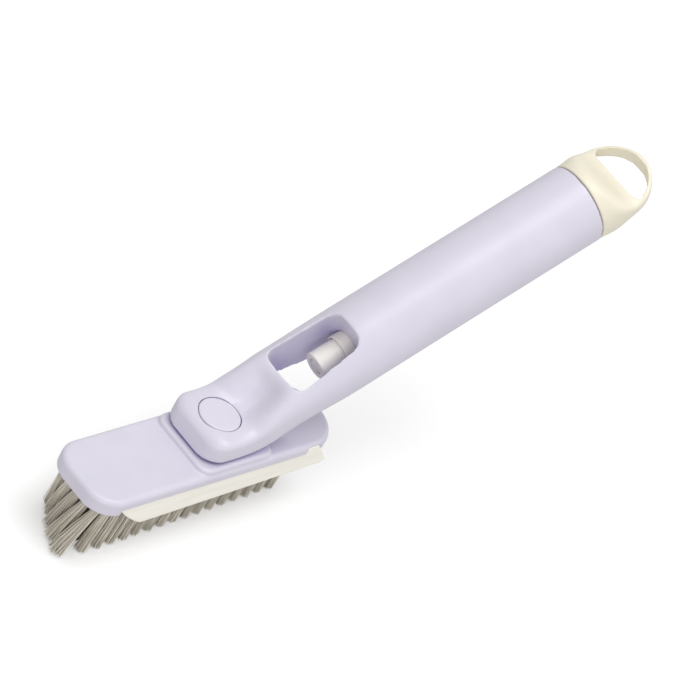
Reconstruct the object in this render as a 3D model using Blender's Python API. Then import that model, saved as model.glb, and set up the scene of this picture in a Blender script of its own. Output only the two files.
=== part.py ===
"""Gap cleaning brush with a spray bottle in its handle.

Every piece is its own object, in metres, +Z up. The origin is the middle of the trimmed bristle
tips. +X runs from the front of the head to the handle's hanging end, and the cover plate lies
level above the bristles. Heights of the head are given from the cover's top face, and places on
the handle are given along its axis (s), across it (y) and above it (n).
"""

import math

import bmesh
import bpy
from mathutils import Vector

MM = 0.001
FIT = 0.3 * MM

# Head: cover plate, raised pad and plug
HEAD_FRONT = -65.4 * MM
HEAD_REAR = 63.1 * MM
HEAD_WIDTH = 33.0 * MM
BLADE_LEDGE = 1.3 * MM
HEAD_FAR = HEAD_WIDTH / 2
HEAD_NEAR = -HEAD_WIDTH / 2 - BLADE_LEDGE
HEAD_HEIGHT = 32.0 * MM
COVER_SIDE = 7.0 * MM
COVER_SKIN = 2.2 * MM
COVER_WALL = 1.8 * MM
COVER_FRONT_CORNER = 11.5 * MM
COVER_REAR_FLAT = 3.0 * MM
COVER_REAR_CORNER = (HEAD_FAR - HEAD_NEAR - COVER_REAR_FLAT) / 2
COVER_TOP_FILLET = 2.2 * MM
PAD_FRONT = -14.7 * MM
PAD_LENGTH = 39.4 * MM
PAD_SIDE_MARGIN = 1.3 * MM
PAD_WIDTH = HEAD_WIDTH - 2 * PAD_SIDE_MARGIN
PAD_HEIGHT = 2.0 * MM
PAD_CORNER = 8.0 * MM
PAD_FILLET = 0.8 * MM
PLUG_LENGTH = 11.0 * MM
PLUG_WIDTH = 9.2 * MM
PLUG_TOP = 6.6 * MM
GROOVE_FLOOR = 4.6 * MM
GROOVE_HEIGHT = 1.5 * MM
GROOVE_DEPTH = 1.1 * MM

# Bristle block: backing plate, tuft strips and strands
BASE_THICKNESS = 2.4 * MM
STRIP_THICKNESS = 2.2 * MM
TUFTS_AHEAD = 9
TUFT_FRONT_MARGIN = 7.8 * MM
TUFT_PITCH = (-HEAD_FRONT - TUFT_FRONT_MARGIN) / TUFTS_AHEAD
TUFT_SIDE_MARGIN = 5.5 * MM
TUFT_ROWS = 5
TUFT_ROW_PITCH = (HEAD_WIDTH - 2 * TUFT_SIDE_MARGIN) / (TUFT_ROWS - 1)
TUFTS_BEHIND = 6
STRIP_COLUMNS = (2, 3, 3, 3, 3, 2)
STRAND_WIDTH = 1.15 * MM
STRAND_SPREAD = 1.05 * MM
STRAND_FLARE = 0.5 * MM
STRANDS_AROUND = 3
FRONT_LEAN = 9.5 * MM
LEAN_DECAY = 0.6
LEAN_BY_ROW = (0.95, 0.65, 0.5, -0.1, -0.4)
INWARD_LEAN = 1.2 * MM
FRONT_GATHER = 1.1

# Squeegee blade along the near side
BLADE_THICKNESS = 1.7 * MM
BLADE_SETBACK = 0.3 * MM
BLADE_FRONT = -54.0 * MM
BLADE_REAR = 59.0 * MM
BLADE_TOP = 4.8 * MM
BLADE_FRONT_DEPTH = 17.9 * MM
BLADE_REAR_DEPTH = 14.6 * MM
BLADE_FRONT_RUN = 16.0 * MM
BLADE_FRONT_CURVE = 1.75
BLADE_CHAMFER = 1.3 * MM
TONGUE_HEIGHT = 1.9 * MM
LUG_FRONT = 44.2 * MM
LUG_LENGTH = 5.4 * MM
LUG_TOP = 1.5 * MM
LIP_THICKNESS = 0.9 * MM

# Handle: axis, tube, neck and bulb
HANDLE_ANGLE = 27.8
AXIS_CROSSING = -3.7 * MM
TUBE_RADIUS = 16.5 * MM
TUBE_WALL = 1.7 * MM
TUBE_BORE = TUBE_RADIUS - TUBE_WALL
TUBE_END = 184.0 * MM
TUBE_START = 76.0 * MM
NECK_START = 38.0 * MM
NECK_HALF_WIDTH = TUBE_RADIUS - 0.7 * MM
NECK_TOP = TUBE_RADIUS - 3.5 * MM
NECK_UNDER = TUBE_RADIUS - 7.0 * MM
NECK_SQUARENESS = 2.3
BULB_FRONT = -10.2 * MM
BULB_BASE = 2.6 * MM
BULB_TOP = 12.9 * MM
BULB_HALF_WIDTH = 15.6 * MM
BULB_CORNER = 7.5 * MM
BULB_TOP_FILLET = 4.4 * MM
SCOOP_DEPTH = 5.6 * MM
SCOOP_HALF_WIDTH = 12.6 * MM
WINDOW_START = 39.8 * MM
WINDOW_END = 72.0 * MM
WINDOW_FRONT_WIDTH = 22.2 * MM
WINDOW_REAR_WIDTH = 17.4 * MM
WINDOW_FRONT_CORNER = 4.2 * MM
WINDOW_REAR_CORNER = 5.0 * MM
BULKHEAD = 2.5 * MM
VENT_LENGTH = 6.0 * MM
VENT_WIDTH = 0.9 * MM

# Socket under the bulb, button and latch
SOCKET_FRONT = -8.0 * MM
SOCKET_REAR = 14.6 * MM
SOCKET_WIDTH = 25.6 * MM
SOCKET_CORNER = 3.0 * MM
DECK_THICKNESS = 2.0 * MM
BUTTON_PLACE = 2.2 * MM
BUTTON_RADIUS = 8.7 * MM
BUTTON_CROWN = 0.25 * MM
BUTTON_FLANGE = 1.3 * MM
BUTTON_FLANGE_THICKNESS = 1.0 * MM
BUTTON_POCKET = 6.6 * MM
BUTTON_SKIN = 1.4 * MM
BUTTON_LEG = 1.8 * MM
LEG_WIDTH = 3.0 * MM
LATCH_PLATE = 1.7 * MM
LATCH_SHELF = 0.8 * MM
LATCH_SHELF_WIDTH = 11.2 * MM
LATCH_POST = 1.2 * MM
LATCH_POST_WIDTH = 6.2 * MM
CLIP_THICKNESS = 0.9 * MM
CLIP_WIDTH = 1.3 * MM
CLIP_EYE = 0.9 * MM
SCREW_SHANK = 0.9 * MM
SCREW_HEAD = 1.7 * MM
SCREW_HEAD_HEIGHT = 0.9 * MM
SCREW_LENGTH = 5.2 * MM
SCREW_BOSS = 2.3 * MM
HEAD_SCREW_SHANK = 1.1 * MM
HEAD_SCREW_HEAD = 2.2 * MM
HEAD_SCREW_SPACING = 14.0 * MM
HEAD_SCREW_PLACE = 52.0 * MM

# Bottle and spray pump
BOTTLE_WALL = 1.0 * MM
BOTTLE_MOUTH_INSET = 3.0 * MM
SHOULDER_LENGTH = 4.5 * MM
NECK_RADIUS = 5.05 * MM
NECK_WALL = 1.2 * MM
COLLAR_RADIUS = 6.8 * MM
COLLAR_START = 68.3 * MM
NOZZLE_RADIUS = 5.75 * MM
NOZZLE_START = 55.0 * MM
NOZZLE_TRAVEL = 3.8 * MM
NOZZLE_WALL = 0.85 * MM
STEM_RADIUS = 1.2 * MM
PUMP_RADIUS = 3.5 * MM
PUMP_BORE = 2.8 * MM
PUMP_LENGTH = 18.0 * MM
PUMP_FLANGE = 0.8 * MM
PISTON_LENGTH = 2.5 * MM
SPRING_WIRE = 0.3 * MM
INSERT_RADIUS = 2.9 * MM
INSERT_THICKNESS = 0.7 * MM
NOZZLE_DECK = 5.0 * MM
STEM_SOCKET = 6.0 * MM
BALL_RADIUS = 1.2 * MM

# End cap with its hanging loop
CAP_GAP = 0.6 * MM
CAP_ROUND_START = 199.0 * MM
CAP_END = 217.5 * MM
CAP_TAPER_START = 186.0 * MM
CAP_TAPER_END = 202.0 * MM
STRAP_HALF_HEIGHT = 3.7 * MM
STRAP_THICKNESS = 1.8 * MM
LOOP_START = 202.2 * MM
LOOP_CORNER = 4.4 * MM
SPIGOT_LENGTH = 12.0 * MM
SPIGOT_FIT = 0.42 * MM
SPIGOT_WALL = 2.7 * MM
SPIGOT_RADIUS = TUBE_BORE - FIT - BOTTLE_WALL - SPIGOT_FIT
SPIGOT_BORE = SPIGOT_RADIUS - SPIGOT_WALL
SEAL_WIRE = 0.55 * MM
SEAL_GROOVE = 1.2 * MM
LAND_WIDTH = 6.0 * MM

RING_SEGMENTS = 48
SMALL_RING_SEGMENTS = 24
BOTTLE_SEGMENTS = 36
NOZZLE_SEGMENTS = 32
PISTON_SEGMENTS = 16
SCREW_SEGMENTS = 12

LAVENDER = (0.742, 0.716, 0.823, 1.0)
CREAM = (0.888, 0.840, 0.680, 1.0)
BRISTLE = (0.430, 0.385, 0.300, 1.0)
WARM_WHITE = (0.800, 0.775, 0.725, 1.0)
CLEAR = (0.780, 0.800, 0.830, 1.0)
STEEL = (0.560, 0.570, 0.580, 1.0)
SEAL_GREY = (0.250, 0.250, 0.260, 1.0)


def clear_scene():
    for item in list(bpy.context.scene.objects):
        bpy.data.objects.remove(item, do_unlink=True)


def finish(name, colour, roughness, metallic=0.0):
    """A plain Principled material, made once for each name."""
    material = bpy.data.materials.get(name) or bpy.data.materials.new(name)
    material.use_nodes = True
    shader = material.node_tree.nodes["Principled BSDF"]
    shader.inputs["Base Color"].default_value = colour
    shader.inputs["Roughness"].default_value = roughness
    shader.inputs["Metallic"].default_value = metallic
    material.diffuse_color = colour
    return material


def place(name, bm, material, parent=None):
    """Turns a bmesh into a named object with outward normals."""
    bmesh.ops.recalc_face_normals(bm, faces=bm.faces)
    mesh = bpy.data.meshes.new(name)
    bm.to_mesh(mesh)
    bm.free()
    mesh.shade_smooth()
    mesh.set_sharp_from_angle(angle=math.radians(35))
    item = bpy.data.objects.new(name, mesh)
    bpy.context.scene.collection.objects.link(item)
    if material:
        mesh.materials.append(material)
    if parent:
        item.parent = parent
    return item


def cutter(name, bm, parent=None):
    """A hidden guide body for a Boolean."""
    item = place(name, bm, None, parent)
    item.hide_render = True
    item.display_type = "WIRE"
    return item


def boolean(item, tool, operation="DIFFERENCE"):
    modifier = item.modifiers.new(tool.name, "BOOLEAN")
    modifier.operation = operation
    modifier.object = tool
    modifier.solver = "EXACT"


def loft(bm, rings, ring_closed=False):
    """Skins rings of equal length. Both ends get a flat cap unless the last meets the first."""
    loops = [[bm.verts.new(point) for point in ring] for ring in rings]
    pairs = list(zip(loops, loops[1:]))
    if ring_closed:
        pairs.append((loops[-1], loops[0]))
    for low, high in pairs:
        skin_between(bm, low, high)
    if not ring_closed:
        for loop in (loops[0], loops[-1]):
            if len(loop) > 2:
                bm.faces.new(loop)
    return loops


def skin_between(bm, low, high):
    """Faces from one loop to the next, where either may be a single pole point."""
    count = max(len(low), len(high))
    for i in range(count):
        j = (i + 1) % count
        if len(low) == 1:
            bm.faces.new((low[0], high[i], high[j]))
        elif len(high) == 1:
            bm.faces.new((low[i], low[j], high[0]))
        else:
            bm.faces.new((low[i], low[j], high[j], high[i]))


def turned(bm, profile, points=SMALL_RING_SEGMENTS, ring_closed=False):
    """A body turned about the local X axis, from (place along the axis, radius) pairs."""
    rings = []
    for along, radius in profile:
        if radius == 0.0:
            rings.append([Vector((along, 0.0, 0.0))])
            continue
        turn = [2 * math.pi * (i + 0.5) / points for i in range(points)]
        rings.append([Vector((along, radius * math.cos(a), radius * math.sin(a))) for a in turn])
    return loft(bm, rings, ring_closed)


def rounded(x0, x1, y0, y1, front, rear, steps=6):
    """Plan outline of a rounded rectangle with its own front and rear corner radius."""
    corners = (
        (x1 - rear, y1 - rear, rear, 0.0),
        (x0 + front, y1 - front, front, 0.5 * math.pi),
        (x0 + front, y0 + front, front, math.pi),
        (x1 - rear, y0 + rear, rear, 1.5 * math.pi),
    )
    outline = []
    for cx, cy, radius, start in corners:
        for k in range(steps + 1):
            angle = start + 0.5 * math.pi * k / steps
            outline.append((cx + radius * math.cos(angle), cy + radius * math.sin(angle)))
    return outline


def level(outline, height):
    return [Vector((x, y, height)) for x, y in outline]


def slab(bm, outline, low, high):
    return loft(bm, [level(outline, low), level(outline, high)])


def block(bm, x0, x1, y0, y1, z0, z1):
    return slab(bm, [(x0, y0), (x1, y0), (x1, y1), (x0, y1)], z0, z1)


def empty(name, location, rotation_y=0.0, parent=None):
    item = bpy.data.objects.new(name, None)
    item.location = location
    item.rotation_euler = (0.0, rotation_y, 0.0)
    item.parent = parent
    bpy.context.scene.collection.objects.link(item)
    return item


def side_point(along, above):
    """A point of the side view from its place on the handle: x, and height over the cover."""
    slope = math.radians(HANDLE_ANGLE)
    x = AXIS_CROSSING + along * math.cos(slope) - above * math.sin(slope)
    return (x, along * math.sin(slope) + above * math.cos(slope))


def signed_power(value, power):
    return math.copysign(abs(value) ** power, value)


def section(top, under, half_width, top_power, under_power, dent=0.0):
    """One ring of the handle: a superellipse between a top and an under point of the side view."""
    top = Vector((top[0], 0.0, top[1]))
    under = Vector((under[0], 0.0, under[1]))
    centre = (top + under) / 2
    rise = (top - under) / 2
    ring = []
    for i in range(RING_SEGMENTS):
        angle = 2 * math.pi * (i + 0.5) / RING_SEGMENTS
        power = 2 / (top_power if math.sin(angle) > 0 else under_power)
        y = half_width * signed_power(math.cos(angle), power)
        point = centre + rise * signed_power(math.sin(angle), power)
        if dent and math.sin(angle) > 0:
            reach = min(1.0, abs(y) / SCOOP_HALF_WIDTH)
            bowl = 0.5 + 0.5 * math.cos(math.pi * reach)
            point -= rise.normalized() * dent * bowl
        ring.append(Vector((point.x, y, point.z)))
    return ring


def nose_rings():
    """The bulb's rounded front, from its flat face back to its full section."""
    steps = 6
    rings = []
    for k in range(steps + 1):
        angle = 0.5 * math.pi * k / steps
        open_up = 1 - math.sin(angle)
        x = BULB_FRONT + BULB_CORNER * (1 - math.cos(angle))
        top = (x, BULB_TOP - BULB_TOP_FILLET * open_up)
        under = (x, BULB_BASE + 0.5 * MM * open_up)
        rings.append(section(top, under, BULB_HALF_WIDTH - BULB_CORNER * open_up, 5.0, 9.0))
    return rings


def neck_rings():
    """From the button deck up the thumb scoop to the round tube."""
    deck_end = BUTTON_PLACE + 2.0 * MM
    base_end = SOCKET_REAR + 2.4 * MM
    start_top = side_point(NECK_START, NECK_TOP)
    start_under = side_point(NECK_START, -NECK_UNDER)

    def top_at(share, lift):
        x = deck_end + (start_top[0] - deck_end) * share
        return (x, BULB_TOP + (start_top[1] - BULB_TOP) * lift)

    def under_at(share, lift):
        x = base_end + (start_under[0] - base_end) * share
        return (x, BULB_BASE + (start_under[1] - BULB_BASE) * lift)

    front_under = (deck_end, BULB_BASE)
    rings = [
        section((deck_end, BULB_TOP), front_under, BULB_HALF_WIDTH, 5.0, 9.0),
        section(top_at(0.30, 0.10), (0.55 * base_end, BULB_BASE), BULB_HALF_WIDTH, 4.6, 8.0,
                0.40 * SCOOP_DEPTH),
        section(top_at(0.50, 0.32), (0.92 * base_end, BULB_BASE), BULB_HALF_WIDTH, 4.0, 6.0,
                0.85 * SCOOP_DEPTH),
        section(top_at(0.68, 0.55), under_at(0.30, 0.16), BULB_HALF_WIDTH, 3.2, 4.6, SCOOP_DEPTH),
        section(top_at(0.85, 0.79), under_at(0.66, 0.56), BULB_HALF_WIDTH, 2.7, 3.8,
                0.85 * SCOOP_DEPTH),
        section(start_top, start_under, NECK_HALF_WIDTH, NECK_SQUARENESS, 3.4,
                0.60 * SCOOP_DEPTH),
    ]
    steps = 6
    for k in range(1, steps + 1):
        share = k / steps
        ease = share * share * (3 - 2 * share)
        along = NECK_START + (TUBE_START - NECK_START) * share
        top = side_point(along, NECK_TOP + (TUBE_RADIUS - NECK_TOP) * ease)
        under = side_point(along, -NECK_UNDER - (TUBE_RADIUS - NECK_UNDER) * ease)
        half_width = NECK_HALF_WIDTH + (TUBE_RADIUS - NECK_HALF_WIDTH) * ease
        fade = 0.60 * SCOOP_DEPTH * max(0.0, 1 - 2 * share)
        square = NECK_SQUARENESS + (2.0 - NECK_SQUARENESS) * ease
        rings.append(section(top, under, half_width, square, 3.4 - 1.4 * ease, fade))
    rings.append(section(side_point(TUBE_END, TUBE_RADIUS), side_point(TUBE_END, -TUBE_RADIUS),
                         TUBE_RADIUS, 2.0, 2.0))
    return rings


def window_outline(margin=0.0):
    """The window in the handle's own plane, wider towards the head."""
    outline = rounded(WINDOW_START - margin, WINDOW_END + margin,
                      -WINDOW_FRONT_WIDTH / 2 - margin, WINDOW_FRONT_WIDTH / 2 + margin,
                      WINDOW_FRONT_CORNER, WINDOW_REAR_CORNER)
    taper = 1 - WINDOW_REAR_WIDTH / WINDOW_FRONT_WIDTH
    length = WINDOW_END - WINDOW_START
    return [(x, y * (1 - taper * (x - WINDOW_START) / length)) for x, y in outline]


def socket_outline(margin=0.0):
    return rounded(SOCKET_FRONT + margin, SOCKET_REAR - margin,
                   -SOCKET_WIDTH / 2 + margin, SOCKET_WIDTH / 2 - margin,
                   SOCKET_CORNER - margin, SOCKET_CORNER - margin, 4)


def latch_screw_places():
    inset = SCREW_BOSS + FIT
    half = SOCKET_WIDTH / 2 - inset
    return [(x, y) for x in (SOCKET_FRONT + inset, SOCKET_REAR - inset) for y in (-half, half)]


def upright(bm, place_xy, profile, points=SMALL_RING_SEGMENTS):
    """A body turned about a vertical line, from (height, radius) pairs."""
    rings = []
    for height, radius in profile:
        if radius == 0.0:
            rings.append([Vector((place_xy[0], place_xy[1], height))])
            continue
        turn = [2 * math.pi * i / points for i in range(points)]
        rings.append([Vector((place_xy[0] + radius * math.cos(a),
                              place_xy[1] + radius * math.sin(a), height)) for a in turn])
    return loft(bm, rings)


def socket_cutter(cover_frame):
    """The latch chamber: open below, its screw bosses left standing."""
    bm = bmesh.new()
    slab(bm, socket_outline(), BULB_BASE - 3 * MM, BULB_TOP - DECK_THICKNESS)
    chamber = cutter("socket_cutter", bm, cover_frame)
    plate_top = BULB_BASE + FIT + LATCH_PLATE
    for i, spot in enumerate(latch_screw_places()):
        bm = bmesh.new()
        upright(bm, spot, [(plate_top + FIT, SCREW_BOSS), (BULB_TOP, SCREW_BOSS)])
        boolean(chamber, cutter(f"boss_guide_{i + 1}", bm, cover_frame))
    return chamber


def make_handle_shell(cover_frame, axis_frame, material):
    """The one-piece moulding: bulb, thumb scoop, window neck and bottle tube."""
    bm = bmesh.new()
    loft(bm, nose_rings() + neck_rings())
    shell = place("handle_shell", bm, material, cover_frame)

    bm = bmesh.new()
    slab(bm, window_outline(), -2 * TUBE_RADIUS, 2 * TUBE_RADIUS)
    boolean(shell, cutter("window_cutter", bm, axis_frame))

    bore_start = WINDOW_END + BULKHEAD
    bm = bmesh.new()
    turned(bm, [(bore_start, TUBE_BORE), (TUBE_END + 5 * MM, TUBE_BORE)], RING_SEGMENTS)
    boolean(shell, cutter("bore_cutter", bm, axis_frame))

    bm = bmesh.new()
    hole = COLLAR_RADIUS + FIT
    turned(bm, [(WINDOW_END - 2 * MM, hole), (bore_start + 1 * MM, hole)], SMALL_RING_SEGMENTS)
    boolean(shell, cutter("collar_cutter", bm, axis_frame))

    bm = bmesh.new()
    outer = WINDOW_REAR_WIDTH / 2 - 0.4 * MM
    block(bm, WINDOW_END - 1 * MM, bore_start + 1 * MM, outer - VENT_WIDTH, outer,
          -VENT_LENGTH / 2, VENT_LENGTH / 2)
    boolean(shell, cutter("vent_cutter", bm, axis_frame))

    boolean(shell, socket_cutter(cover_frame))

    bm = bmesh.new()
    hole = BUTTON_RADIUS + FIT
    deck_under = BULB_TOP - DECK_THICKNESS - 1 * MM
    upright(bm, (BUTTON_PLACE, 0.0), [(deck_under, hole), (BULB_TOP + 6 * MM, hole)], RING_SEGMENTS)
    boolean(shell, cutter("button_cutter", bm, cover_frame))

    for i, spot in enumerate(latch_screw_places()):
        bm = bmesh.new()
        pilot = SCREW_SHANK + FIT
        upright(bm, spot, [(BULB_BASE, pilot), (BULB_TOP - DECK_THICKNESS, pilot)], SCREW_SEGMENTS)
        boolean(shell, cutter(f"pilot_cutter_{i + 1}", bm, cover_frame))
    return shell


def make_latch_housing(cover_frame, material):
    """The moulded retainer that closes the socket, keeps the clip and seats the button spring."""
    low = BULB_BASE + FIT
    top = low + LATCH_PLATE
    shelf = PLUG_TOP + FIT
    reach = PLUG_LENGTH / 2 + 2 * FIT
    x0 = BUTTON_PLACE - reach
    x1 = BUTTON_PLACE + reach
    bm = bmesh.new()
    slab(bm, socket_outline(FIT), low, top)
    housing = place("latch_housing", bm, material, cover_frame)

    bm = bmesh.new()
    half = LATCH_SHELF_WIDTH / 2
    block(bm, x0 - LATCH_POST, x1 + LATCH_POST, -half, half, shelf, shelf + LATCH_SHELF)
    boolean(housing, cutter("shelf_guide", bm, cover_frame), "UNION")
    half = LATCH_POST_WIDTH / 2
    for name, low_x in (("front_post_guide", x0 - LATCH_POST), ("rear_post_guide", x1)):
        bm = bmesh.new()
        block(bm, low_x, low_x + LATCH_POST, -half, half, low + 0.4 * MM, shelf + 0.4 * MM)
        boolean(housing, cutter(name, bm, cover_frame), "UNION")

    bm = bmesh.new()
    half = PLUG_WIDTH / 2 + FIT
    block(bm, x0 + FIT, x1 - FIT, -half, half, low - 1 * MM, top + 0.2 * MM)
    boolean(housing, cutter("plug_hole_cutter", bm, cover_frame))
    for i, spot in enumerate(latch_screw_places()):
        bm = bmesh.new()
        sink = low + SCREW_HEAD_HEIGHT + FIT
        upright(bm, spot, [(low - 1 * MM, SCREW_HEAD + FIT), (sink, SCREW_HEAD + FIT),
                           (sink, SCREW_SHANK + FIT), (top + 1 * MM, SCREW_SHANK + FIT)], SCREW_SEGMENTS)
        boolean(housing, cutter(f"latch_screw_cutter_{i + 1}", bm, cover_frame))
    return housing


def make_latch_screws(cover_frame, material):
    low = BULB_BASE + FIT
    for i, spot in enumerate(latch_screw_places()):
        bm = bmesh.new()
        head = low + SCREW_HEAD_HEIGHT
        upright(bm, spot, [(low, SCREW_HEAD * 0.7), (low + 0.3 * MM, SCREW_HEAD),
                           (head, SCREW_HEAD), (head, SCREW_SHANK),
                           (low + SCREW_LENGTH, SCREW_SHANK)], SCREW_SEGMENTS)
        place(f"latch_screw_{i + 1}", bm, material, cover_frame)


def clip_low():
    return BULB_BASE + 2 * FIT + LATCH_PLATE


def leg_inner():
    return LATCH_SHELF_WIDTH / 2 + 2 * FIT


def make_latch_clip(cover_frame, material):
    """A flat U spring: its arms lie in the plug's grooves, its eyes wait for the button's legs."""
    low = clip_low()
    inner = PLUG_WIDTH / 2 - GROOVE_DEPTH + FIT
    outer = inner + CLIP_WIDTH
    front = BUTTON_PLACE - PLUG_LENGTH / 2 - 2.5 * MM
    bend = BUTTON_PLACE + PLUG_LENGTH / 2 + 2 * FIT + LATCH_POST + FIT
    outline = [(front, -outer), (bend, -outer)]
    steps = 6
    depth = 2.2 * MM
    for k in range(1, steps):
        angle = math.pi * k / steps
        outline.append((bend + depth * math.sin(angle), -outer * math.cos(angle)))
    outline += [(bend, outer), (front, outer), (front, inner), (bend, inner), (bend, -inner),
                (front, -inner)]
    bm = bmesh.new()
    loft(bm, [level(outline, low), level(outline, low + CLIP_THICKNESS)])
    clip = place("latch_clip", bm, material, cover_frame)
    eye_inner = leg_inner() - FIT
    eye_outer = leg_inner() + BUTTON_LEG + FIT
    half = LEG_WIDTH / 2 + FIT
    for side, name in ((-1, "near_eye"), (1, "far_eye")):
        edges = sorted((side * (outer - 0.3 * MM), side * (eye_outer + CLIP_EYE)))
        bm = bmesh.new()
        block(bm, BUTTON_PLACE - half - CLIP_EYE, BUTTON_PLACE + half + CLIP_EYE, *edges,
              low, low + CLIP_THICKNESS)
        boolean(clip, cutter(f"{name}_guide", bm, cover_frame), "UNION")
        edges = sorted((side * eye_inner, side * eye_outer))
        bm = bmesh.new()
        block(bm, BUTTON_PLACE - half, BUTTON_PLACE + half, *edges, low - 1 * MM, low + 2 * MM)
        boolean(clip, cutter(f"{name}_cutter", bm, cover_frame))
    return clip


def coil(name, start, end, radius, wire, turns, material, parent, upright_axis=False):
    """A spring of one unbroken wire from start to end, about the X axis or a vertical one."""
    curve = bpy.data.curves.new(name, "CURVE")
    curve.dimensions = "3D"
    curve.bevel_depth = wire
    curve.bevel_resolution = 0
    curve.use_fill_caps = True
    count = int(turns * 10) + 1
    spline = curve.splines.new("POLY")
    spline.points.add(count - 1)
    low = start + wire
    high = end - wire
    for k in range(count):
        share = k / (count - 1)
        angle = 2 * math.pi * turns * share
        along = low + (high - low) * share
        across = (radius * math.cos(angle), radius * math.sin(angle))
        if upright_axis:
            place_xyz = (BUTTON_PLACE + across[0], across[1], along)
        else:
            place_xyz = (along, *across)
        spline.points[k].co = (*place_xyz, 1.0)
    gap = (high - low) / turns - 2 * wire
    print(f"{name}: least gap between turns {gap / MM:.2f} mm")
    item = bpy.data.objects.new(name, curve)
    curve.materials.append(material)
    bpy.context.scene.collection.objects.link(item)
    item.parent = parent
    return item


def make_release_button(cover_frame, material, steel):
    """A hollow push button with a retaining flange and two wedge legs, and its spring."""
    crown = BULB_TOP + BUTTON_CROWN
    ceiling = BULB_TOP - BUTTON_SKIN
    flange_top = BULB_TOP - DECK_THICKNESS - FIT
    flange_low = flange_top - BUTTON_FLANGE_THICKNESS
    flange = BUTTON_RADIUS + BUTTON_FLANGE
    mid = (BUTTON_PLACE, 0.0)
    bm = bmesh.new()
    upright(bm, mid, [
        (crown, 0.0),
        (crown - 0.10 * MM, 0.6 * BUTTON_RADIUS),
        (BULB_TOP - 0.10 * MM, BUTTON_RADIUS - 0.35 * MM),
        (BULB_TOP - 0.45 * MM, BUTTON_RADIUS),
        (flange_top, BUTTON_RADIUS),
        (flange_top, flange),
        (flange_low, flange),
        (flange_low, BUTTON_POCKET),
        (ceiling, BUTTON_POCKET),
        (ceiling, 0.0),
    ], RING_SEGMENTS)
    button = place("release_button", bm, material, cover_frame)
    tip = clip_low() + CLIP_THICKNESS + 2 * FIT
    for side, name in ((-1, "near_leg_guide"), (1, "far_leg_guide")):
        bm = bmesh.new()
        inner = side * leg_inner()
        outer = inner + side * BUTTON_LEG
        half = LEG_WIDTH / 2
        profile = [(inner, flange_low + 0.5 * MM), (outer, flange_low + 0.5 * MM),
                   (outer, tip + 2.0 * MM), (inner + side * 0.6 * MM, tip), (inner, tip)]
        loft(bm, [[Vector((BUTTON_PLACE + dx, y, z)) for y, z in profile] for dx in (-half, half)])
        boolean(button, cutter(name, bm, cover_frame), "UNION")
    seat = PLUG_TOP + FIT + LATCH_SHELF
    coil("button_spring", seat + FIT, ceiling - FIT, 3.4 * MM, SPRING_WIRE, 2.5, steel,
         cover_frame, upright_axis=True)


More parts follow.
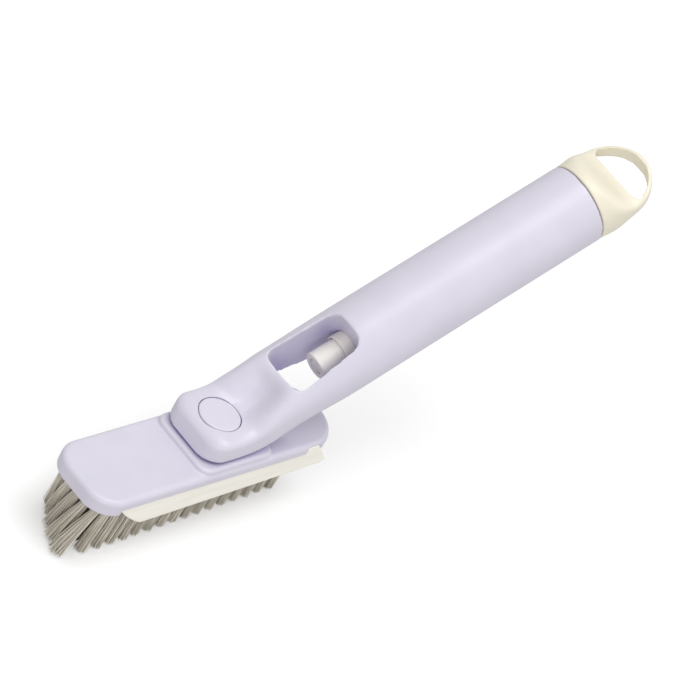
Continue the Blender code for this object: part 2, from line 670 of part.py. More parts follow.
def make_head_cover(cover_frame, material):
    """The cover plate with its pad and plug, hollow below, notched for the squeegee."""
    def outline(inset):
        return rounded(HEAD_FRONT + inset, HEAD_REAR - inset, HEAD_NEAR + inset, HEAD_FAR - inset,
                       COVER_FRONT_CORNER - inset, COVER_REAR_CORNER - inset)

    bm = bmesh.new()
    rings = [level(outline(0.6 * MM), -COVER_SIDE), level(outline(0.0), -COVER_SIDE + 0.6 * MM)]
    steps = 4
    for k in range(steps + 1):
        angle = 0.5 * math.pi * k / steps
        inset = COVER_TOP_FILLET * (1 - math.cos(angle))
        rings.append(level(outline(inset), COVER_TOP_FILLET * (math.sin(angle) - 1)))
    loft(bm, rings)
    cover = place("head_cover", bm, material, cover_frame)

    def pad_outline(inset):
        wide = PAD_WIDTH / 2 - inset
        return rounded(PAD_FRONT + inset, PAD_FRONT + PAD_LENGTH - inset, -wide, wide,
                       PAD_CORNER - inset, PAD_CORNER - inset)

    bm = bmesh.new()
    loft(bm, [level(pad_outline(0.0), -0.8 * MM), level(pad_outline(0.0), PAD_HEIGHT - PAD_FILLET),
              level(pad_outline(0.3 * PAD_FILLET), PAD_HEIGHT - 0.3 * PAD_FILLET),
              level(pad_outline(PAD_FILLET), PAD_HEIGHT)])
    boolean(cover, cutter("pad_guide", bm, cover_frame), "UNION")

    x0 = BUTTON_PLACE - PLUG_LENGTH / 2
    x1 = BUTTON_PLACE + PLUG_LENGTH / 2
    wide = PLUG_WIDTH / 2
    floor = wide - GROOVE_DEPTH
    grooves = [(PAD_HEIGHT - 0.5 * MM, wide), (GROOVE_FLOOR, wide), (GROOVE_FLOOR, floor),
               (GROOVE_FLOOR + GROOVE_HEIGHT, floor), (GROOVE_FLOOR + GROOVE_HEIGHT, wide),
               (PLUG_TOP - 0.4 * MM, wide), (PLUG_TOP, wide - 0.4 * MM)]
    face = [(y, z) for z, y in grooves] + [(-y, z) for z, y in reversed(grooves)]
    bm = bmesh.new()
    loft(bm, [[Vector((x, y, z)) for y, z in face] for x in (x0, x1)])
    boolean(cover, cutter("plug_guide", bm, cover_frame), "UNION")

    bm = bmesh.new()
    slab(bm, outline(COVER_WALL), -COVER_SIDE - 2 * MM, -COVER_SKIN)
    boolean(cover, cutter("recess_cutter", bm, cover_frame))

    inside = HEAD_NEAR + COVER_WALL + 1 * MM
    outside = HEAD_NEAR - 3 * MM
    bm = bmesh.new()
    block(bm, BLADE_FRONT - FIT, LUG_FRONT, outside, inside, -COVER_SIDE - 2 * MM,
          -BLADE_TOP + FIT)
    boolean(cover, cutter("blade_notch_cutter", bm, cover_frame))
    bm = bmesh.new()
    block(bm, LUG_FRONT - FIT, BLADE_REAR + 2 * MM, outside, blade_inner() + FIT,
          -COVER_SIDE - 2 * MM, -LUG_TOP + FIT)
    boolean(cover, cutter("lug_notch_cutter", bm, cover_frame))
    bm = bmesh.new()
    block(bm, BLADE_FRONT + BLADE_FRONT_RUN / 4, LUG_FRONT + 1 * MM, HEAD_NEAR + LIP_THICKNESS,
          inside, -COVER_SIDE - 2 * MM, -COVER_SKIN - 0.2 * MM)
    boolean(cover, cutter("lip_cutter", bm, cover_frame))
    for i, y in enumerate((-HEAD_SCREW_SPACING / 2, HEAD_SCREW_SPACING / 2)):
        bm = bmesh.new()
        upright(bm, (HEAD_SCREW_PLACE, y), [(-COVER_SKIN - 1 * MM, HEAD_SCREW_SHANK + FIT),
                                            (-0.8 * MM, HEAD_SCREW_SHANK + FIT)], SCREW_SEGMENTS)
        boolean(cover, cutter(f"cover_pilot_cutter_{i + 1}", bm, cover_frame))
    return cover


def blade_outer():
    return HEAD_NEAR + BLADE_SETBACK


def blade_inner():
    return blade_outer() + BLADE_THICKNESS


def blade_depth(x):
    """How far the blade's wiping edge hangs below the cover's top face."""
    share = (x - BLADE_FRONT) / (BLADE_REAR - BLADE_FRONT)
    return BLADE_FRONT_DEPTH + (BLADE_REAR_DEPTH - BLADE_FRONT_DEPTH) * share


def blade_outline(raise_edge=0.0):
    """The blade seen from the side, its wiping edge raised for the chamfer."""
    outline = [(BLADE_FRONT, -BLADE_TOP)]
    steps = 7
    drop = blade_depth(BLADE_FRONT + BLADE_FRONT_RUN) - raise_edge - BLADE_TOP
    for k in range(1, steps + 1):
        angle = 0.5 * math.pi * k / steps
        x = BLADE_FRONT + BLADE_FRONT_RUN * (1 - signed_power(math.cos(angle), BLADE_FRONT_CURVE))
        outline.append((x, -BLADE_TOP - drop * math.sin(angle) ** BLADE_FRONT_CURVE))
    rear = BLADE_REAR - 3.0 * MM
    outline.append((rear, -blade_depth(rear) + raise_edge))
    outline.append((BLADE_REAR - 0.6 * MM, -blade_depth(rear) + 1.0 * MM + raise_edge))
    outline.append((BLADE_REAR, -blade_depth(rear) + 2.8 * MM))
    outline.append((LUG_FRONT + LUG_LENGTH + 1.8 * MM, -LUG_TOP - 2.0 * MM))
    outline.append((LUG_FRONT + LUG_LENGTH, -LUG_TOP))
    outline.append((LUG_FRONT + 0.6 * MM, -LUG_TOP))
    outline.append((LUG_FRONT, -LUG_TOP - 0.6 * MM))
    outline.append((LUG_FRONT, -BLADE_TOP))
    return outline


def make_squeegee_blade(cover_frame, material):
    outer = blade_outer()
    inner = blade_inner()
    levels = ((outer, BLADE_CHAMFER), (outer + 0.7 * BLADE_THICKNESS, 0.0), (inner, 0.0))
    bm = bmesh.new()
    loft(bm, [[Vector((x, y, z)) for x, z in blade_outline(lift)] for y, lift in levels])
    blade = place("squeegee_blade", bm, material, cover_frame)
    bm = bmesh.new()
    block(bm, BLADE_FRONT + BLADE_FRONT_RUN / 3, LUG_FRONT + 0.5 * MM,
          HEAD_NEAR + LIP_THICKNESS + FIT, inner, -BLADE_TOP - 1 * MM,
          -BLADE_TOP + TONGUE_HEIGHT)
    boolean(blade, cutter("tongue_guide", bm, cover_frame), "UNION")
    return blade


def block_outline(x0, x1, front_corner, rear_corner):
    """Plan of the bristle block between two places along the head."""
    far = HEAD_FAR - COVER_WALL - FIT
    near = blade_inner() + FIT
    return rounded(x0, x1, near, far, front_corner, rear_corner, 4)


def field_columns():
    return [TUFT_PITCH * k for k in range(-TUFTS_AHEAD, TUFTS_BEHIND + 1)]


def make_bristle_base(cover_frame, material):
    """The backing plate: thin over the tuft strips, thick behind them, where it is screwed."""
    front = HEAD_FRONT + COVER_WALL + FIT
    end = HEAD_REAR - COVER_WALL - FIT
    top = -COVER_SKIN - FIT
    field_end = field_columns()[-1] + TUFT_PITCH / 2
    front_corner = COVER_FRONT_CORNER - COVER_WALL - FIT
    rear_corner = COVER_REAR_CORNER - COVER_WALL - FIT
    bm = bmesh.new()
    slab(bm, block_outline(front, end, front_corner, rear_corner), top - BASE_THICKNESS, top)
    base = place("bristle_base", bm, material, cover_frame)
    bm = bmesh.new()
    slab(bm, block_outline(field_end + FIT, end, 0.5 * MM, rear_corner),
         top - BASE_THICKNESS - STRIP_THICKNESS - FIT, top - 0.5 * MM)
    boolean(base, cutter("base_heel_guide", bm, cover_frame), "UNION")
    low = top - BASE_THICKNESS - STRIP_THICKNESS - FIT
    for i, y in enumerate((-HEAD_SCREW_SPACING / 2, HEAD_SCREW_SPACING / 2)):
        bm = bmesh.new()
        sink = low + 1.6 * MM
        upright(bm, (HEAD_SCREW_PLACE, y), [
            (low - 1 * MM, HEAD_SCREW_HEAD + FIT), (sink, HEAD_SCREW_HEAD + FIT),
            (sink, HEAD_SCREW_SHANK + FIT), (top + 1 * MM, HEAD_SCREW_SHANK + FIT)], SCREW_SEGMENTS)
        boolean(base, cutter(f"base_screw_cutter_{i + 1}", bm, cover_frame))
        bm = bmesh.new()
        upright(bm, (HEAD_SCREW_PLACE, y), [
            (low, HEAD_SCREW_HEAD * 0.7), (low + 0.4 * MM, HEAD_SCREW_HEAD),
            (sink - FIT, HEAD_SCREW_HEAD), (sink - FIT, HEAD_SCREW_SHANK),
            (-0.8 * MM - FIT, HEAD_SCREW_SHANK)], SCREW_SEGMENTS)
        place(f"head_screw_{i + 1}", bm, finish("steel", STEEL, 0.35, 1.0), cover_frame)
    return base


def strand(bm, root, tip, width, turn):
    """One four-sided strand from inside its strip down to the trimmed plane."""
    corners = [turn + 0.5 * math.pi * k for k in range(4)]
    rings = []
    for centre, size in ((root, width / 2), (tip, 0.6 * width)):
        rings.append([centre + Vector((size * math.cos(a), size * math.sin(a), 0.0))
                      for a in corners])
    loft(bm, rings)


def tuft(bm, column_index, row_index, column_x, row_y, root_z, tip_z):
    """A middle strand and the strands around it, leaning forward at the front of the head."""
    lean = -FRONT_LEAN * LEAN_DECAY ** column_index * LEAN_BY_ROW[row_index]
    if abs(lean) < 0.3 * MM:
        lean = 0.0
    side = INWARD_LEAN * (1 - 2 * row_index / (TUFT_ROWS - 1))
    side *= 1 + FRONT_GATHER * LEAN_DECAY ** column_index
    offsets = [(0.0, 0.0)]
    for k in range(STRANDS_AROUND):
        angle = 2 * math.pi * (k + 0.25) / STRANDS_AROUND
        offsets.append((math.cos(angle), math.sin(angle)))
    for k, (dx, dy) in enumerate(offsets):
        root = Vector((column_x + STRAND_SPREAD * dx, row_y + STRAND_SPREAD * dy, root_z))
        reach = STRAND_SPREAD + STRAND_FLARE
        tip = Vector((column_x + lean + reach * dx, row_y + side + reach * dy, tip_z))
        strand(bm, root, tip, STRAND_WIDTH, 0.25 * math.pi * k)


def make_bristle_strips(cover_frame, material):
    """Strips of the bristle block, each a slice of backing with its tufts fused to it."""
    top = -COVER_SKIN - FIT - BASE_THICKNESS - FIT
    low = top - STRIP_THICKNESS
    columns = field_columns()
    rows = [TUFT_ROW_PITCH * (k - (TUFT_ROWS - 1) / 2) for k in range(TUFT_ROWS)]
    block_front = HEAD_FRONT + COVER_WALL + FIT
    first = 0
    for number, width in enumerate(STRIP_COLUMNS):
        last = first + width - 1
        x0 = block_front if first == 0 else columns[first] - TUFT_PITCH / 2 + FIT / 2
        x1 = columns[last] + TUFT_PITCH / 2 - FIT / 2
        corner = COVER_FRONT_CORNER - COVER_WALL - FIT if first == 0 else 0.4 * MM
        bm = bmesh.new()
        slab(bm, block_outline(x0, x1, corner, 0.4 * MM), low, top)
        name = "front_tufts" if first == 0 else f"bristle_strip_{number}"
        strip = place(name, bm, material, cover_frame)
        bm = bmesh.new()
        for index in range(first, last + 1):
            for row_index, row_y in enumerate(rows):
                tuft(bm, index, row_index, columns[index], row_y, low + 0.8 * MM, -HEAD_HEIGHT)
        boolean(strip, cutter(f"{name}_strand_guide", bm, cover_frame), "UNION")
        first = last + 1


def bottle_profile():
    bore_start = WINDOW_END + BULKHEAD
    radius = TUBE_BORE - FIT
    neck_front = COLLAR_START + NOZZLE_TRAVEL + PUMP_FLANGE + 2 * FIT
    shoulder = bore_start + FIT
    mouth = TUBE_END - BOTTLE_MOUTH_INSET
    inner = radius - BOTTLE_WALL
    neck_bore = NECK_RADIUS - NECK_WALL
    full = shoulder + SHOULDER_LENGTH
    return [
        (neck_front, neck_bore), (neck_front, NECK_RADIUS), (shoulder + 1.0 * MM, NECK_RADIUS),
        (shoulder + 1.2 * MM, radius - 3.5 * MM), (shoulder + 2.2 * MM, radius - 1.2 * MM),
        (full, radius), (mouth, radius), (mouth, inner), (full + 0.3 * MM, inner),
        (shoulder + 2.6 * MM, inner - 2.6 * MM), (shoulder + 2.3 * MM, neck_bore),
    ]


def make_bottle(axis_frame, material):
    bm = bmesh.new()
    turned(bm, bottle_profile(), BOTTLE_SEGMENTS, ring_closed=True)
    return place("liquid_bottle", bm, material, axis_frame)


def make_pump(axis_frame, plastic, steel):
    """The fine-mist pump: collar, barrel, stem, piston, spring and inlet ball."""
    collar_rear = WINDOW_END + BULKHEAD + 1.0 * MM
    slide_end = COLLAR_START + NOZZLE_TRAVEL
    flange = slide_end + FIT
    guide = NOZZLE_RADIUS + FIT
    grip = NECK_RADIUS + FIT
    bm = bmesh.new()
    turned(bm, [(COLLAR_START, guide), (COLLAR_START, COLLAR_RADIUS - 0.25 * MM),
                (COLLAR_START + 0.3 * MM, COLLAR_RADIUS), (collar_rear, COLLAR_RADIUS),
                (collar_rear, grip), (slide_end, grip), (slide_end, guide)],
           SMALL_RING_SEGMENTS, ring_closed=True)
    place("pump_collar", bm, plastic, axis_frame)

    barrel_end = flange + PUMP_LENGTH
    chamber = BALL_RADIUS + 0.3 * MM
    bm = bmesh.new()
    turned(bm, [(flange, PUMP_BORE), (flange, NECK_RADIUS - FIT), (flange + PUMP_FLANGE,
                NECK_RADIUS - FIT), (flange + PUMP_FLANGE, PUMP_RADIUS), (barrel_end, PUMP_RADIUS),
                (barrel_end + 3 * MM, chamber + 0.8 * MM), (barrel_end + 5 * MM, chamber + 0.8 * MM),
                (barrel_end + 5 * MM, 0.7 * MM), (barrel_end + 3.6 * MM, 0.7 * MM),
                (barrel_end + 2.6 * MM, chamber), (barrel_end - 0.8 * MM, chamber),
                (barrel_end - 0.8 * MM, PUMP_BORE)],
           SMALL_RING_SEGMENTS, ring_closed=True)
    place("pump_barrel", bm, plastic, axis_frame)

    stem_start = NOZZLE_START + STEM_SOCKET + FIT
    stem_end = flange + PUMP_LENGTH - NOZZLE_TRAVEL - 4.5 * MM
    piston_end = stem_end - 0.8 * MM - FIT
    bm = bmesh.new()
    turned(bm, [(stem_start, 0.0), (stem_start, STEM_RADIUS), (stem_end - 0.8 * MM, STEM_RADIUS),
                (stem_end - 0.8 * MM, STEM_RADIUS + 0.8 * MM), (stem_end, STEM_RADIUS + 0.8 * MM),
                (stem_end, 0.0)], SCREW_SEGMENTS)
    place("pump_stem", bm, plastic, axis_frame)
    bm = bmesh.new()
    skirt = PUMP_BORE - FIT
    turned(bm, [(piston_end - PISTON_LENGTH, STEM_RADIUS + FIT), (piston_end - PISTON_LENGTH, skirt),
                (piston_end - 0.6 * PISTON_LENGTH, skirt - 0.4 * MM),
                (piston_end - 0.4 * PISTON_LENGTH, skirt - 0.4 * MM), (piston_end, skirt),
                (piston_end, STEM_RADIUS + FIT)], PISTON_SEGMENTS, ring_closed=True)
    place("pump_piston", bm, finish("seal", SEAL_GREY, 0.6), axis_frame)
    coil("pump_spring", stem_end + FIT, barrel_end - 0.8 * MM - FIT, 1.9 * MM, 0.25 * MM, 5, steel,
         axis_frame)
    bm = bmesh.new()
    bmesh.ops.create_icosphere(bm, subdivisions=2, radius=BALL_RADIUS)
    ball = place("inlet_ball", bm, steel, axis_frame)
    ball.location = (barrel_end + 1.2 * MM, 0.0, 0.0)


def make_spray_nozzle(axis_frame, plastic):
    """The actuator that shows in the window, hollow behind, with its spray insert."""
    rear = COLLAR_START - FIT
    skirt = NOZZLE_RADIUS - NOZZLE_WALL
    socket = STEM_RADIUS + FIT
    deck = NOZZLE_START + NOZZLE_DECK
    socket_floor = NOZZLE_START + STEM_SOCKET
    recess = INSERT_THICKNESS + 2 * FIT
    bm = bmesh.new()
    turned(bm, [
        (NOZZLE_START + recess, 0.0), (NOZZLE_START + recess, INSERT_RADIUS + FIT),
        (NOZZLE_START, INSERT_RADIUS + FIT), (NOZZLE_START, NOZZLE_RADIUS - 0.5 * MM),
        (NOZZLE_START + 0.15 * MM, NOZZLE_RADIUS - 0.15 * MM),
        (NOZZLE_START + 0.5 * MM, NOZZLE_RADIUS), (rear, NOZZLE_RADIUS), (rear, skirt),
        (deck, skirt), (deck, socket + 0.9 * MM), (rear - 1 * MM, socket + 0.9 * MM),
        (rear - 1 * MM, socket), (socket_floor, socket), (socket_floor, 0.0),
    ], NOZZLE_SEGMENTS)
    place("spray_nozzle", bm, plastic, axis_frame)
    bm = bmesh.new()
    start = NOZZLE_START + FIT
    turned(bm, [(start + 0.3 * MM, 0.4 * MM), (start, 1.1 * MM), (start, INSERT_RADIUS),
                (start + INSERT_THICKNESS, INSERT_RADIUS), (start + INSERT_THICKNESS, 0.4 * MM)],
           SMALL_RING_SEGMENTS, ring_closed=True)
    place("nozzle_insert", bm, plastic, axis_frame)


def cap_half_height(along):
    """Half the cap's height: round at the seam, flattened to the strap of the loop."""
    share = (along - CAP_TAPER_START) / (CAP_TAPER_END - CAP_TAPER_START)
    share = min(1.0, max(0.0, share))
    ease = share * share * (3 - 2 * share)
    return TUBE_RADIUS + (STRAP_HALF_HEIGHT - TUBE_RADIUS) * ease


def cap_half_width(along, inset=0.0):
    """Half the cap's width: a half ellipse beyond the straight part."""
    reach = CAP_END - CAP_ROUND_START - inset
    share = min(1.0, max(0.0, (along - CAP_ROUND_START) / reach))
    return (TUBE_RADIUS - inset) * math.sqrt(max(0.0, 1 - share * share))


def cap_ring(along, half_width, half_height, power):
    ring = []
    for i in range(RING_SEGMENTS):
        angle = 2 * math.pi * (i + 0.5) / RING_SEGMENTS
        y = half_width * signed_power(math.cos(angle), 2 / power)
        z = half_height * signed_power(math.sin(angle), 2 / power)
        ring.append(Vector((along, y, z)))
    return ring


def loop_outline():
    """The hanging hole: straight on the handle's side, a half ellipse round the end."""
    half = cap_half_width(LOOP_START, STRAP_THICKNESS)
    outline = [(LOOP_START, half - LOOP_CORNER), (LOOP_START, -half + LOOP_CORNER),
               (LOOP_START + 0.35 * LOOP_CORNER, -half + 0.3 * LOOP_CORNER)]
    steps = 16
    end = CAP_END - STRAP_THICKNESS
    first = math.asin((LOOP_START + LOOP_CORNER - CAP_ROUND_START) / (end - CAP_ROUND_START))
    land = math.acos(LAND_WIDTH / 2 / (TUBE_RADIUS - STRAP_THICKNESS))
    for side in (-1, 1):
        arc = []
        for k in range(steps // 2 + 1):
            angle = first + (land - first) * k / (steps // 2)
            x = CAP_ROUND_START + (end - CAP_ROUND_START) * math.sin(angle)
            arc.append((x, side * (TUBE_RADIUS - STRAP_THICKNESS) * math.cos(angle)))
        outline += arc if side < 0 else arc[::-1]
    outline.append((LOOP_START + 0.35 * LOOP_CORNER, half - 0.3 * LOOP_CORNER))
    return outline


def make_end_cap(axis_frame, material):
    """The cream cap: a plug for the bottle's mouth, a round shoulder and a hanging loop."""
    start = TUBE_END + CAP_GAP
    stations = [start, start + 0.4 * MM, CAP_TAPER_START]
    steps = 7
    stations += [CAP_TAPER_START + (CAP_ROUND_START - CAP_TAPER_START) * k / steps
                 for k in range(1, steps + 1)]
    bend_steps = 9
    stations += [CAP_ROUND_START + (CAP_END - CAP_ROUND_START) * math.sin(1.50 * k / bend_steps)
                 for k in range(1, bend_steps + 1)]
    rings = []
    for along in stations:
        bevel = 0.3 * MM if along == start else 0.0
        height = cap_half_height(along)
        flat = 1 - (height - STRAP_HALF_HEIGHT) / (TUBE_RADIUS - STRAP_HALF_HEIGHT)
        rings.append(cap_ring(along, cap_half_width(along) - bevel, height - bevel, 2 + 3 * flat))
    bm = bmesh.new()
    loft(bm, rings)
    cap = place("end_cap", bm, material, axis_frame)

    spigot = SPIGOT_RADIUS
    mouth = TUBE_END - BOTTLE_MOUTH_INSET
    step = TUBE_BORE - FIT
    groove = seal_place()
    floor = spigot - SEAL_GROOVE
    half = SEAL_WIRE + FIT
    bm = bmesh.new()
    turned(bm, [
        (start - SPIGOT_LENGTH, SPIGOT_BORE), (start - SPIGOT_LENGTH, spigot - 0.6 * MM),
        (start - SPIGOT_LENGTH + 0.6 * MM, spigot), (groove - half, spigot),
        (groove - half, floor), (groove + half, floor), (groove + half, spigot),
        (mouth + FIT, spigot), (mouth + FIT, step), (start + 1 * MM, step),
        (start + 1 * MM, SPIGOT_BORE),
    ], RING_SEGMENTS, ring_closed=True)
    boolean(cap, cutter("spigot_guide", bm, axis_frame), "UNION")
    bm = bmesh.new()
    dome = start + 4.5 * MM
    turned(bm, [(start - SPIGOT_LENGTH - 1 * MM, SPIGOT_BORE), (dome - 2.5 * MM, SPIGOT_BORE),
                (dome, SPIGOT_BORE * 0.7), (dome + 0.5 * MM, 0.0)], RING_SEGMENTS)
    boolean(cap, cutter("cap_bore_cutter", bm, axis_frame))
    bm = bmesh.new()
    slab(bm, loop_outline(), -TUBE_RADIUS, TUBE_RADIUS)
    boolean(cap, cutter("loop_cutter", bm, axis_frame))
    return cap


def seal_place():
    return TUBE_END + CAP_GAP - SPIGOT_LENGTH + 4.4 * MM


def make_cap_seal(axis_frame, material):
    """The O-ring in the plug's groove."""
    middle = SPIGOT_RADIUS + SPIGOT_FIT / 2 - SEAL_WIRE
    bm = bmesh.new()
    profile = []
    for k in range(8):
        angle = 2 * math.pi * k / 8
        profile.append((seal_place() + SEAL_WIRE * math.cos(angle),
                        middle + SEAL_WIRE * math.sin(angle)))
    turned(bm, profile, BOTTLE_SEGMENTS, ring_closed=True)
    return place("cap_seal", bm, material, axis_frame)


def main():
    clear_scene()
    cover_frame = empty("cover_top", (0.0, 0.0, HEAD_HEIGHT))
    axis_frame = empty("handle_axis", (AXIS_CROSSING, 0.0, 0.0), -math.radians(HANDLE_ANGLE),
                       cover_frame)
    lavender = finish("lavender", LAVENDER, 0.38)
    cream = finish("cream", CREAM, 0.42)
    rubber = finish("cream_rubber", CREAM, 0.6)
    bristle = finish("bristle", BRISTLE, 0.7)
    white = finish("warm_white", WARM_WHITE, 0.35)
    bottle = finish("bottle", CLEAR, 0.25)
    steel = finish("steel", STEEL, 0.35, 1.0)
    seal = finish("seal", SEAL_GREY, 0.6)

    make_handle_shell(cover_frame, axis_frame, lavender)
    make_latch_housing(cover_frame, white)
    make_latch_screws(cover_frame, steel)
    make_latch_clip(cover_frame, steel)
    make_release_button(cover_frame, lavender, steel)
    make_bottle(axis_frame, bottle)
    make_pump(axis_frame, white, steel)
    make_spray_nozzle(axis_frame, white)
    make_end_cap(axis_frame, cream)
    make_cap_seal(axis_frame, seal)
    make_head_cover(cover_frame, lavender)
    make_bristle_base(cover_frame, white)
    make_bristle_strips(cover_frame, bristle)
    make_squeegee_blade(cover_frame, rubber)


main()
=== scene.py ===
"""Looks of the gap cleaning brush: mouldings, squeegee, bristles, spray pump and a plain studio.

Every length is in metres. Three frames are used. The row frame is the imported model's own. Cover
coordinates are measured from the middle of the cover plate's top face. Handle coordinates run
along the handle's axis (s), across it (y) and above it (n).
"""

from __future__ import annotations

import logging
import math
import random
from dataclasses import dataclass
from enum import Enum
from typing import Callable, Iterable, Sequence

import bmesh
import bpy
import numpy as np
from mathutils import Matrix, Vector


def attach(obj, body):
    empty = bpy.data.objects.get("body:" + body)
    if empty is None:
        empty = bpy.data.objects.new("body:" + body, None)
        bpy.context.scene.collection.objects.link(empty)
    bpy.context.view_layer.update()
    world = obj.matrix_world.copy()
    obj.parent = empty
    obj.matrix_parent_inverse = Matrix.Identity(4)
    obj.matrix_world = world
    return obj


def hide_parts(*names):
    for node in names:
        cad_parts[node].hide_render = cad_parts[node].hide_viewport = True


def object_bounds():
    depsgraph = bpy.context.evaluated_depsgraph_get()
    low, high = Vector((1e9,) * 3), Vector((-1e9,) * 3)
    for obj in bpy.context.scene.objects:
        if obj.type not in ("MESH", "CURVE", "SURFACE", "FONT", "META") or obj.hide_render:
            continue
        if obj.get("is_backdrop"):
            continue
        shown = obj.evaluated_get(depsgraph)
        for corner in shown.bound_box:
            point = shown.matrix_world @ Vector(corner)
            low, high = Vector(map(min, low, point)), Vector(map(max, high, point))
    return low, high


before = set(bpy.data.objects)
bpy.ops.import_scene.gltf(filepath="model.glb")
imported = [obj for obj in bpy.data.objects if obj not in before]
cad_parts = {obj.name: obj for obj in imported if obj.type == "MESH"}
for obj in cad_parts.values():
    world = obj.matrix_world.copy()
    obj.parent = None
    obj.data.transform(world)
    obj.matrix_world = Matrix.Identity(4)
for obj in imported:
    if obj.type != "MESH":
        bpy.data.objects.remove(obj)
CAD_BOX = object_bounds()

LOG = logging.getLogger("brush")
MM = 0.001
FIT = 0.3 * MM
EDGE = 0.15 * MM
HEAD_HEIGHT = 32.0 * MM
HANDLE_SLOPE = math.radians(27.8)
AXIS_CROSSING = -3.7 * MM
TUBE_RADIUS = 16.5 * MM
TUBE_END = 184.0 * MM
WINDOW_END = 72.0 * MM
BULKHEAD_END = 74.5 * MM
COLLAR_RADIUS = 6.9 * MM
BULB_TOP = 12.9 * MM
DECK = 2.0 * MM
BUTTON_PLACE = 2.2 * MM
BUTTON_RADIUS = 8.7 * MM
HEAD_NEAR = -17.8 * MM
BLADE_FRONT = -54.0 * MM
BLADE_REAR = 59.0 * MM
BLADE_TOP = 4.8 * MM
BLADE_RUN = 16.0 * MM
LUG_FRONT = 44.2 * MM
LUG_TOP = 1.5 * MM
LIP = 0.9 * MM
OVERLAP = 0.5 * MM
ROW_FROM_COVER = Matrix.Translation((0.0, 0.0, HEAD_HEIGHT))
ROW_FROM_AXIS = (ROW_FROM_COVER @ Matrix.Translation((AXIS_CROSSING, 0.0, 0.0))
                 @ Matrix.Rotation(-HANDLE_SLOPE, 4, "Y"))
COVER_FROM_AXIS = (ROW_FROM_AXIS.inverted() @ ROW_FROM_COVER).inverted()

Point = tuple[float, float]
Outline = list[Point]
Ring = list[Vector]
Colour = tuple[float, float, float]
BMesh = bmesh.types.BMesh
Material = bpy.types.Material
Object = bpy.types.Object
Socket = bpy.types.NodeSocket


class Body(Enum):
    """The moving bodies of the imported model."""

    HANDLE = "handle"
    BUTTON = "button"
    NOZZLE = "nozzle"
    HEAD = "head"
    CAP = "cap"


class Slot(Enum):
    """Names of the record's material slots for the new pieces; nothing in this script gives them
    to a piece.
    """

    LAVENDER = "lavender_plastic"
    WHITE = "white_plastic"
    CREAM = "cream_plastic"
    RUBBER = "cream_rubber"
    NYLON = "bristle_nylon"


def linear(*display: float) -> Colour:
    """Turns display values of 0 to 255 into the linear colour that a shader takes.

    Args:
        *display: Display values of 0 to 255.

    Returns:
        The linear values.
    """
    shares = (value / 255.0 for value in display)
    return tuple(share / 12.92 if share <= 0.04045 else ((share + 0.055) / 1.055) ** 2.4
                 for share in shares)


# ----------------------------------------
# Finishes


class Graph:
    """Adds nodes to one node tree."""

    def __init__(self, tree: bpy.types.NodeTree) -> None:
        """Keeps the tree."""
        self.tree = tree

    def feed(self, target: Socket, value: object) -> None:
        """Links a socket to an input, or sets the input to a constant.

        Args:
            target: The input.
            value: A socket or a constant.
        """
        if isinstance(value, Socket):
            self.tree.links.new(value, target)
        else:
            target.default_value = value

    def node(self, kind: str, inputs: dict | None = None, **values: object) -> bpy.types.Node:
        """Adds a node.

        Args:
            kind: Blender's name of the node type, without its first part.
            inputs: Sockets or constants for its inputs, by name or number.
            **values: Properties of the node.

        Returns:
            The new node.
        """
        item = self.tree.nodes.new(f"ShaderNode{kind}")
        for key, value in values.items():
            setattr(item, key, value)
        for key, value in (inputs or {}).items():
            self.feed(item.inputs[key], value)
        return item


